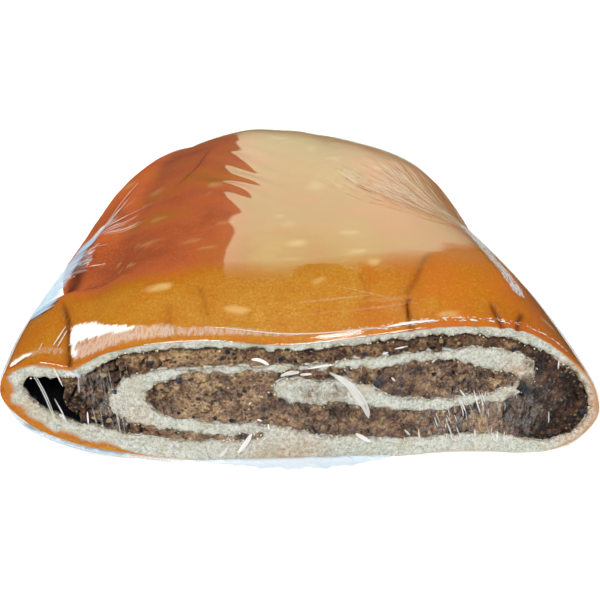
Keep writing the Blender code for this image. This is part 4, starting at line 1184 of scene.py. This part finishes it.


# Cling film: clear, mirror-smooth and drawn tight, so that it shows reflections, fine wrinkles and whitish
# streaks where it is bunched; the same milky coat also paints highlights, glints and reflections of the
# room, warm and cool, and the shade seen through slack film. From one wrinkle to the next across grows by 1,
# in a wrinkle's length along does, and crimp is its height in mm.
def filmMaterial(name):
    m = newMaterial(name)
    at = addNode(m, "ShaderNodeTexCoord").outputs["Object"]
    value = {key: addNode(m, "ShaderNodeAttribute", attribute_name=key).outputs["Fac"]
             for key in ("cover", "milkAndPaintedLight", "cool", "upright", "across", "along", "crimp", "mirror")}
    wrinkle = addNode(m, "ShaderNodeCombineXYZ", {"X": value["across"], "Y": value["along"]})
    wrinkle = addNode(m, "ShaderNodeTexNoise", {
        "Vector": wrinkle, "Scale": 1.0, "Detail": 2.0, "Roughness": 0.5})
    swell = addNode(m, "ShaderNodeTexNoise", {
        "Vector": at, "Scale": 1 / (9 * mm), "Detail": 2.0, "Roughness": 0.45})
    height = addNode(m, "ShaderNodeMath", {0: wrinkle, 1: value["crimp"]}, operation="MULTIPLY")
    height = addNode(m, "ShaderNodeMath", {0: swell, 1: 0.09, 2: height}, operation="MULTIPLY_ADD")
    bump = addNode(m, "ShaderNodeBump", {"Height": height, "Strength": 1.0, "Distance": mm})
    inward = addNode(m, "ShaderNodeNewGeometry").outputs["Backfacing"]
    outside = addNode(m, "ShaderNodeMath", {0: 1.0, 1: inward}, operation="SUBTRACT")
    mirror = addNode(m, "ShaderNodeFresnel", {"IOR": 1.40, "Normal": bump})
    mirror = addNode(m, "ShaderNodeMath", {0: mirror, 1: film["mostMirror"]}, operation="MINIMUM")
    for factor in (value["mirror"], outside):
        mirror = addNode(m, "ShaderNodeMath", {0: mirror, 1: factor}, operation="MULTIPLY")
    clear = addNode(m, "ShaderNodeBsdfTransparent", {"Color": (0.99, 0.99, 0.99, 1.0)})
    glossy = addNode(m, "ShaderNodeBsdfAnisotropic", {
        "Color": (1.0, 1.0, 1.0, 1.0), "Roughness": 0.05, "Normal": bump})
    sheet = addNode(m, "ShaderNodeMixShader", {0: mirror, 1: clear, 2: glossy})
    # where it is bunched, and where highlights, reflections and shade are painted on it, the streaks of the
    # noise above 1 less the cover are milky
    streakScale = (1 / (0.5 * mm), 1 / (1.5 * mm), 1 / (2 * mm))
    striae = addNode(m, "ShaderNodeMapping", {"Vector": at, "Scale": streakScale})
    striae = addNode(m, "ShaderNodeTexNoise", {
        "Vector": striae, "Scale": 1.0, "Detail": 3.0, "Roughness": 0.6})
    streaks = addNode(m, "ShaderNodeMix", {"Factor": value["upright"], "A": wrinkle, "B": striae})
    least = addNode(m, "ShaderNodeMath", {0: 0.90, 1: value["cover"]}, operation="SUBTRACT")
    most = addNode(m, "ShaderNodeMath", {0: 1.15, 1: value["cover"]}, operation="SUBTRACT")
    share = addNode(m, "ShaderNodeMapRange", {"Value": streaks, "From Min": least, "From Max": most})
    for factor in (value["milkAndPaintedLight"], outside):
        share = addNode(m, "ShaderNodeMath", {0: share, 1: factor}, operation="MULTIPLY")
    warm, cool = linear(film["warmMilkAndPaintedLight"]), linear(film["coolMilkAndPaintedLight"])
    milkAndPaintedLight = addNode(m, "ShaderNodeMix", {"Factor": value["cool"], "A": warm, "B": cool}, data_type="RGBA")
    milky = addNode(m, "ShaderNodeBsdfDiffuse", {"Color": milkAndPaintedLight})
    whole = addNode(m, "ShaderNodeMixShader", {0: share, 1: sheet, 2: milky})
    addNode(m, "ShaderNodeOutputMaterial", {"Surface": whole})
    return m


# Wrinkles of the crust's film at places in mm: their number across, how far along, and their height.
def crustWrinkles(x, y):
    across, along = y / film["restPitch"], x / film["restLength"]
    crimp = film["restCrimp"] + (film["shoulderCrimp"] - film["restCrimp"]) * window(y, film["shoulder"])
    for gather in gathers:
        dx, dy = x - gather["at"][0], y - gather["at"][1]
        span, turn = np.hypot(dx, dy), np.degrees(np.arctan2(-dx, dy))
        turn = turn * (1 + gather["curl"] * np.clip(span / 40 - 1, -1, 1))    # straighter further out
        strength = window(span, gather["span"]) * window(turn, gather["turns"])
        across = np.where(strength > 0.01, turn / gather["pitch"], across)
        along = np.where(strength > 0.01, span / film["gatherLength"], along)
        crimp = crimp * (1 - np.minimum(strength * 4, 1)) + strength * gather["crimp"]
    return across, along, crimp


# How far the pleats lift the film: a sine across each, and a finer one that comes and goes by chance.
def pleatLift(points):
    lift = np.zeros(points.shape[:-1])
    for pleat in pleats:
        px, py = points[..., 0] / mm - pleat["at"][0], points[..., 1] / mm - pleat["at"][1]
        phase = (px * pleat["across"][0] + py * pleat["across"][1]) / pleat["pitch"]
        phase = phase + 0.35 * valueNoise(points, 24 * mm, 72)
        spread = np.exp(-((px / pleat["half"][0]) ** 2) - (py / pleat["half"][1]) ** 2)
        lift = lift + pleat["height"] * mm * spread * (
            np.sin(2 * np.pi * phase) + 0.4 * np.sin(4.6 * np.pi * phase) * valueNoise(points, 15 * mm, 73))
    return lift


# Cover, milkiness, coolness and upright streaks at places in mm: the strongest haze at each, among them
# painted highlights and reflections, and below the left of the cut the slack that hangs off the crust, cool
# and milky, which paints the blue grey of the shaded table seen through it.
def hazesAt(x, y, z, onCut):
    cover, milkAndPaintedLight, cool, upright = np.zeros((4,) + x.shape)
    fromCrease = x + 54.6 + 0.26 * y
    for rows, second, there in ((crustHazesAndPaintedLight, y, ~onCut & (z > 8)), (cutHazes, z, onCut)):
        for coverHere, milkHere, coolHere, stands, side, start, end, track in rows:
            away, share = trackDistance(x, second, track)
            width = start + (end - start) * share
            strength = (1 - smoothStep(away, width * 0.5, width * 1.5)) * there
            if side:
                strength = strength * smoothStep(side * fromCrease, -0.2, 0.5)
            coat = milkHere * smoothStep(strength, 0.0, 0.45)
            leads = coat > milkAndPaintedLight
            cool, upright = np.where(leads, coolHere, cool), np.where(leads, stands, upright)
            milkAndPaintedLight = np.maximum(milkAndPaintedLight, coat)
            cover = np.maximum(cover, coverHere * (0.40 + 0.60 * strength) * (strength > 0))
    slack = smoothStep(-x, 24, 32) * (1 - smoothStep(z, 15, 22)) * (1 - smoothStep(y, 20, 50)) * ~onCut
    cover = np.maximum(cover, 0.85 * (slack > 0))
    return cover, np.maximum(milkAndPaintedLight, 0.5 * slack), np.maximum(cool, slack), upright


# How much of a mirror the crust's film is: less on its steep sides and flanks, none where it lies wet.
def crustShine(points):
    x, y = points[..., 0] / mm, points[..., 1] / mm
    shine = 1 - 0.7 * smoothStep(np.abs(x), 57, 65) * smoothStep(y, 8, 30)
    shine = shine * (1 - 0.75 * smoothStep(np.where(x > 0, x + 6, -x), 50, 60) * smoothStep(y, 42, 62))
    uneven = 0.16 * valueNoise(points * (0.4, 1, 1), 1.6 * mm, 74) + 0.12 * valueNoise(points, 5 * mm, 75)
    for px, py, halfX, halfY, strength in wetPatches:
        away = np.hypot((x - px) / halfX, (y - py) / halfY) + uneven
        shine = shine * (1 - strength * (1 - smoothStep(away, 0.80, 1.20)))
    return shine


# What the film's material reads at points of it: by x and y on the crust, and by x and z over the cut.
def filmState(points, onCut):
    x, y, z = np.moveaxis(points, -1, 0) / mm
    across, along, crimp = crustWrinkles(x, y)
    cover, milkAndPaintedLight, cool, upright = hazesAt(x, y, z, onCut)
    return dict(
        across=np.where(onCut, x / film["cutPitch"], across),
        along=np.where(onCut, z / film["cutLength"], along),
        crimp=np.where(onCut, film["cutCrimp"], crimp), cover=cover, milkAndPaintedLight=milkAndPaintedLight, cool=cool, upright=upright,
        mirror=np.where(onCut, film["cutMirror"], crustShine(points)))


# Rows that bend the film round the cut's edge: a quarter turn that ends where the crust's slope takes over.
def bendRows(first, second, lift):
    section = first[:, [0, 2]]
    out = outward(section)
    slope = np.sum((second[:, [0, 2]] - section) * out, axis=1) / (second[:, 1] - first[:, 1])
    stop = np.pi / 2 - np.arctan(np.clip(slope, 0.0, 3.0))
    rows = []
    for k in range(film["bendRows"]):
        angle = stop * k / (film["bendRows"] - 1)
        rise = film["gap"] + lift - film["bend"] * (1 - np.sin(angle))
        back = -film["gap"] + film["bend"] * (1 - np.cos(angle))
        flat = section + out * rise[:, None]
        rows.append(np.stack([flat[:, 0], back, np.maximum(flat[:, 1], film["rim"])], axis=1))
    return np.array(rows)


# The wrap: the skin's loft a gap further out, bent over the edge of the cut and closed by a flat sheet over
# it. Nothing lies under the loaf. Gives the loft's distances behind the cut, its points and their normals.
def buildFilm():
    ring = loftRing(film)
    ys = skinRows(film)[1:]
    ys = ys[ys > 0.5 * film["frontStep"]]
    rows = np.concatenate([[0.0], ys])
    grid = loafForm(ring[:, 0], ring[:, 1], rows[:, None])
    normal = gridNormals(grid)
    x, y, z = np.moveaxis(grid, -1, 0) / mm
    sag = film["sag"] * window(x, film["sagFrom"]) * (1 - smoothStep(z, *film["sagBelow"]))
    sag = sag * (1 - smoothStep(y, *film["sagRun"]))
    lifted = grid + normal * (film["gap"] + sag + pleatLift(grid))[:, :, None]
    lifted[1:, :, 1] = np.maximum(lifted[1:, :, 1], film["bend"])
    whole = np.concatenate([bendRows(grid[0], grid[1], sag[0]), lifted[1:]])
    tip = np.array([[0.0, loaf["length"] + film["gap"], loaf["tipHeight"]]])
    wrap = np.vstack([whole.reshape(-1, 3), tip])
    faces = closedLoftFaces(*whole.shape[:2])
    faces = faces[wrap[faces][:, :, 2].mean(axis=1) > film["openBelow"]]

    edge = whole[0][:, [0, 2]]
    face, triangles = fillRegion([edge], film["faceSpacing"], 15, lambda p: isInside(p, edge))
    sheet = behindCut(face, -film["gap"])[len(edge):]
    everything = np.vstack([wrap, sheet])
    faces = np.vstack([faces, faceNumbers(0, len(edge), len(wrap), len(face))[triangles]])
    onCut = np.arange(len(everything)) >= len(wrap)
    onCut[:2 * len(edge)] = True
    values = filmState(everything, onCut)
    # beyond the crust's edge at the lower left the sheet is slack, and shows as a pale band, cool and milky,
    # which paints the shaded table seen through it
    flat = everything[:, [0, 2]]
    beyond = smoothStep(nearest(flat, crustEdge)[0], 0.0, 0.3 * mm) * ~isInside(flat, crustEdge) * onCut
    lowLeft = smoothStep(-flat[:, 0], 24 * mm, 34 * mm)
    beyond = beyond * lowLeft * (1 - smoothStep(flat[:, 1], 18 * mm, 24 * mm))
    for key, most in (("milkAndPaintedLight", 0.62), ("cover", 0.80), ("cool", 0.8)):
        values[key] = np.maximum(values[key], most * beyond)
    makeSheet("stretch_film", everything, faces, filmMaterial("stretch film"), values)
    return rows, lifted, normal


# A piece of film: a mesh from arrays, given the film's thickness outwards.
def makeSheet(name, points, faces, material, values):
    piece = makePiece(name, points, faces, material, "film", values, sharp=70)
    wall = piece.modifiers.new("thickness", "SOLIDIFY")
    wall.thickness = film["thickness"]
    wall.offset = 1.0


# Tracks of the named strokes, as points at equal steps along each, with their widths and milkiness.
def foldTracks(rows):
    tracks = []
    for path in (smoothCurve(np.array(row[2]), False, 8) for row in rows):
        length = np.concatenate([[0.0], np.cumsum(np.linalg.norm(np.diff(path, axis=0), axis=1))])
        at = np.linspace(0, length[-1], film["strokePoints"])
        tracks.append(np.stack([np.interp(at, length, path[:, k]) for k in (0, 1)], axis=1))
    return np.array(tracks) * mm, np.array([row[:2] for row in rows])


# Tracks of the strokes of fields: straight ones with a slight bow, scattered by chance.
def fieldTracks(fields, seed):
    draw = np.random.default_rng(seed)
    tracks, looks = [], []
    for field in fields:
        count = field["count"]
        turn = np.radians(draw.uniform(*field["turns"], count))
        step = np.stack([-np.sin(turn), np.cos(turn)], axis=1)
        side = np.stack([step[:, 1], -step[:, 0]], axis=1)
        reach = 0.5 * draw.uniform(*field["length"], count)[:, None]
        middle = np.array(field["middle"]) + draw.uniform(-1, 1, (count, 2)) * field["half"]
        if "span" in field:
            middle = middle + step * (draw.uniform(*field["span"], count)[:, None] + reach)
        u = np.linspace(-1, 1, film["strokePoints"])[:, None]
        bow = (draw.normal(0, 0.05, count)[:, None] * reach)[:, :, None]
        tracks.append(middle[:, None] + (step * reach)[:, None] * u + side[:, None] * bow * (1 - u * u))
        width, milkAndPaintedLight = draw.uniform(*field["width"], count), draw.uniform(*field["milkAndPaintedLight"], count)
        looks.append(np.stack([width, milkAndPaintedLight], axis=1))
    return np.vstack(tracks) * mm, np.vstack(looks)


# The crust's film above places of x and y, and the way out of it, from the plane at its nearest point.
def onCrust(spots):
    row = np.clip(np.searchsorted(filmRows, spots[..., 1]), 1, len(filmRows) - 1)
    gap = np.abs(filmGrid[row][..., 0] - spots[..., None, 0]) + (filmNormal[row][..., 2] < 0.1)
    column = np.argmin(gap, axis=-1)
    point, normal = filmGrid[row, column], filmNormal[row, column]
    step = spots - point[..., :2]
    rise = -np.sum(step * normal[..., :2], axis=-1) / normal[..., 2]
    return np.concatenate([spots, (point[..., 2] + rise)[..., None]], axis=-1), normal


# Strokes where the film is bunched, their milky white partly painted glints: each is a thin lens carried
# along its track, with a point at both ends.
def buildFolds():
    cutTracks = [foldTracks(cutFolds), fieldTracks(cutFields, 91)]
    crustTracks = [foldTracks(crustFolds), fieldTracks(crustFields, 92)]
    flat = np.vstack([track for track, look in cutTracks])
    flat = np.stack([flat[..., 0], np.full(flat.shape[:-1], -film["gap"]), flat[..., 1]], axis=-1)
    raised, way = onCrust(np.vstack([track for track, look in crustTracks]))
    at = np.vstack([flat, raised])
    out = np.vstack([np.broadcast_to([0.0, -1.0, 0.0], flat.shape), way])
    width, milkiness = np.vstack([look for track, look in cutTracks + crustTracks]).T
    at = at + out * film["strokeGap"]
    step = np.gradient(at, axis=1)
    side = np.cross(out, step)
    side /= np.linalg.norm(side, axis=-1)[..., None]

    count, sides = film["strokePoints"], film["strokeSides"]
    turn = np.arange(sides) * 2 * np.pi / sides
    swell = np.sin(np.pi * np.linspace(0, 1, count)[1:-1]) ** 0.45
    half = 0.5 * mm * width[:, None] * swell
    proud = film["strokeProud"] * np.minimum(1, half / (0.12 * mm))
    ring = (at[:, 1:-1, None] + side[:, 1:-1, None] * (half[:, :, None] * np.cos(turn))[..., None]
            + out[:, 1:-1, None] * (proud[:, :, None] * np.sin(turn))[..., None])
    strokes, rings = len(at), count - 2
    points = np.concatenate([ring.reshape(strokes, rings * sides, 3), at[:, :1], at[:, -1:]], axis=1)
    loop, last = np.arange(sides), (rings - 1) * sides
    after = (loop + 1) % sides
    start = np.stack([loop, np.full(sides, rings * sides), after], axis=1)
    finish = np.stack([last + loop, last + after, np.full(sides, rings * sides + 1)], axis=1)
    stroke = np.vstack([ringFaces(rings, sides), start, finish])
    faces = stroke[None] + (np.arange(strokes) * points.shape[1])[:, None, None]
    whole = np.ones(points.shape[:2])
    across = np.concatenate([np.tile(np.cos(turn), rings), [0, 0]]) * width[:, None] * 1.6
    along = np.concatenate([np.repeat(np.linspace(0, 1, rings), sides), [0, 1]]) * 2
    values = dict(
        milkAndPaintedLight=milkiness[:, None] * whole, across=across + np.arange(strokes)[:, None] * 7,
        along=along * whole, cover=0.72 * whole, cool=0.25 * whole, upright=0 * whole,
        crimp=0.05 * whole, mirror=whole)
    values = {key: value.ravel() for key, value in values.items()}
    makePiece("film_folds_and_glints", points.reshape(-1, 3), faces.reshape(-1, 3),
              filmMaterial("bunched stretch film with painted glints"), "film", values, sharp=80)


# The film's hem, which lies on the table in front of the foot: a crescent that falls from the sheet over
# the cut, with a wavy front.
def buildHem():
    u, v = np.meshgrid(np.linspace(0, 1, 90), np.linspace(0, 1, 12), indexing="ij")
    x = (film["hemFrom"] + (film["hemTo"] - film["hemFrom"]) * u) * mm
    waves = 1 + 0.10 * np.sin(41 * u) + 0.06 * np.sin(97 * u)
    reach = film["hemReach"] * np.sin(np.pi * u**1.25) ** 0.9 * waves
    spot = np.stack([x, v * reach, 0 * x], axis=-1)
    y = -film["gap"] - 0.08 * mm - v * reach
    z = 0.12 * mm + 0.75 * mm * (1 - v) ** 2 + 0.30 * mm * (0.5 + 0.5 * valueNoise(spot, 2.2 * mm, 81)) * v
    grid = np.stack([x, y, z], axis=-1)
    rows, columns = u.shape
    index = np.arange(rows * columns).reshape(rows, columns)
    a, b, c, d = index[:-1, :-1], index[1:, :-1], index[1:, 1:], index[:-1, 1:]
    faces = np.concatenate([np.stack([a, d, c], axis=-1), np.stack([a, c, b], axis=-1)]).reshape(-1, 3)
    x, v = x.ravel(), v.ravel()
    whole = np.ones(x.shape)
    # the hem's cool milky colour paints the shade it lies in on the white table, less so at its very front
    milkAndPaintedLight = 0.74 + 0.20 * valueNoise(spot.reshape(-1, 3), 3 * mm, 82)
    values = dict(cover=0.72 * whole, milkAndPaintedLight=milkAndPaintedLight, cool=0.70 - 0.5 * (v > 0.93), across=(x / mm - 6 * v) / 1.4,
                  along=v * 1.5, crimp=0.06 * whole, mirror=whole, upright=0 * whole)
    makeSheet("film_hem", grid.reshape(-1, 3), faces, filmMaterial("loose hem of stretch film"), values)


filmRows, filmGrid, filmNormal = buildFilm()
buildFolds()
buildHem()
print("film built")

# The camera solved from the photograph, the table, and the room with its window behind the loaf: the
# window's azimuths from +Y, clockwise, at which it starts and ends, its elevations from the horizon up
# between which it brightens and fades, all in degrees, and its strengths below and above.
studio = dict(
    lens=39.0, pitch=27.0, yaw=2.4, eye=(-0.007994, -0.126899, 0.109422),
    floorHalf=12.0, floorColour="#F2F2F1", floorGlow=0.30,
    windowAzimuth=(-6.0, -5.0, 28.0, 36.0), windowElevation=(0.0, 24.0, 42.0, 88.0),
    windowColour="#E2F2CF", windowStrength=(0.32, 2.48), roomColour="#B4BED0", roomStrength=0.07,
)


def addFloor():
    m = newMaterial("matt white table")
    shader = addNode(m, "ShaderNodeBsdfPrincipled", {
        "Base Color": linear(studio["floorColour"]), "Roughness": 0.9,
        "Emission Color": linear(studio["floorColour"]), "Emission Strength": studio["floorGlow"]})
    addNode(m, "ShaderNodeOutputMaterial", {"Surface": shader})
    half = studio["floorHalf"]
    corners = [(-half, -half, 0), (half, -half, 0), (half, half, 0), (-half, half, 0)]
    mesh = bpy.data.meshes.new("table")
    mesh.from_pydata(corners, [], [(0, 1, 2, 3)])
    mesh.materials.append(m)
    floor = bpy.data.objects.new("table", mesh)
    floor.location.z = -0.1 * mm
    floor.visible_glossy = False                       # the film's steep sides don't mirror it
    bpy.context.scene.collection.objects.link(floor)


# The direction to a light at this azimuth from +Y, clockwise, and elevation, both in degrees.
def toward(azimuth, elevation):
    a, e = math.radians(azimuth), math.radians(elevation)
    return Vector((math.sin(a) * math.cos(e), math.cos(a) * math.cos(e), math.sin(e)))


def addSun(name, azimuth, elevation, angle, strength, colour):
    light = bpy.data.lights.new(name, "SUN")
    light.angle = math.radians(angle)
    light.energy = strength
    light.color = linear(colour)[:3]
    sun = bpy.data.objects.new(name, light)
    sun.rotation_mode = "QUATERNION"
    sun.rotation_quaternion = toward(azimuth, elevation).to_track_quat("Z", "Y")
    bpy.context.scene.collection.objects.link(sun)


def addSoftbox(name, azimuth, elevation, distance, size, brightness, colour):
    light = bpy.data.lights.new(name, "AREA")
    light.shape = "RECTANGLE"
    light.size, light.size_y = size
    light.energy = brightness * size[0] * size[1] * 4
    light.color = linear(colour)[:3]
    box = bpy.data.objects.new(name, light)
    box.location = Vector((0, 0, 0.03)) + toward(azimuth, elevation) * distance
    box.rotation_mode = "QUATERNION"
    box.rotation_quaternion = toward(azimuth, elevation).to_track_quat("Z", "Y")
    box.visible_camera = box.visible_glossy = False    # the film shows the window alone
    bpy.context.scene.collection.objects.link(box)


softboxes = [
    ("left", -84.0, 52.0, 1.8, (0.45, 0.40), 4.5, "#FFF2EC"),
    ("right", 56.0, 14.0, 2.4, (0.7, 0.7), 0.45, "#E4DEFF"),
]


# The room round the table, with the window.
def addWorld():
    world = bpy.data.worlds.new("studio")
    bpy.context.scene.world = world
    world.use_nodes = True
    world.node_tree.nodes.clear()
    ray = addNode(world, "ShaderNodeTexCoord").outputs["Generated"]
    part = addNode(world, "ShaderNodeSeparateXYZ", {"Vector": ray}).outputs
    azimuth = addNode(world, "ShaderNodeMath", {0: part["X"], 1: part["Y"]}, operation="ARCTAN2")
    elevation = addNode(world, "ShaderNodeMath", {0: part["Z"]}, operation="ARCSINE")
    left, leftFull, rightFull, right = (math.radians(a) for a in studio["windowAzimuth"])
    horizon, bright, dim, top = (math.radians(e) for e in studio["windowElevation"])
    share = 1.0
    for angle, low, high in ((azimuth, left, leftFull), (azimuth, right, rightFull), (elevation, top, dim)):
        edge = addNode(world, "ShaderNodeMapRange", {"Value": angle, "From Min": low, "From Max": high},
                       interpolation_type="SMOOTHSTEP")
        share = addNode(world, "ShaderNodeMath", {0: share, 1: edge}, operation="MULTIPLY")
    lit = addNode(world, "ShaderNodeMapRange", {
        "Value": elevation, "From Min": horizon, "From Max": bright,
        "To Min": studio["windowStrength"][0], "To Max": studio["windowStrength"][1]})
    wall, pane = linear(studio["roomColour"]), linear(studio["windowColour"])
    colour = addNode(world, "ShaderNodeMix", {"Factor": share, "A": wall, "B": pane}, data_type="RGBA")
    strength = addNode(world, "ShaderNodeMix", {"Factor": share, "A": studio["roomStrength"], "B": lit})
    light = addNode(world, "ShaderNodeBackground", {"Color": colour, "Strength": strength})
    addNode(world, "ShaderNodeOutputWorld", {"Surface": light})


def addCamera():
    data = bpy.data.cameras.new("camera")
    data.sensor_width = 36.0
    data.lens = studio["lens"]
    data.clip_start, data.clip_end = 0.005, 30.0
    camera = bpy.data.objects.new("camera", data)
    camera.location = Vector(studio["eye"]) + Vector(place)
    pitch, yaw = math.radians(studio["pitch"]), math.radians(studio["yaw"])
    look = Vector((math.sin(yaw) * math.cos(pitch), math.cos(yaw) * math.cos(pitch), -math.sin(pitch)))
    camera.rotation_mode = "QUATERNION"
    camera.rotation_quaternion = look.to_track_quat("-Z", "Y")
    bpy.context.scene.collection.objects.link(camera)
    bpy.context.scene.camera = camera


addFloor()
addSun("key", 192.0, 48.0, 26.0, 4.2, "#FFFFFF")
for row in softboxes:
    addSoftbox(*row)
addWorld()
addCamera()
bpy.context.scene.view_settings.view_transform = "Standard"
print("stage set")
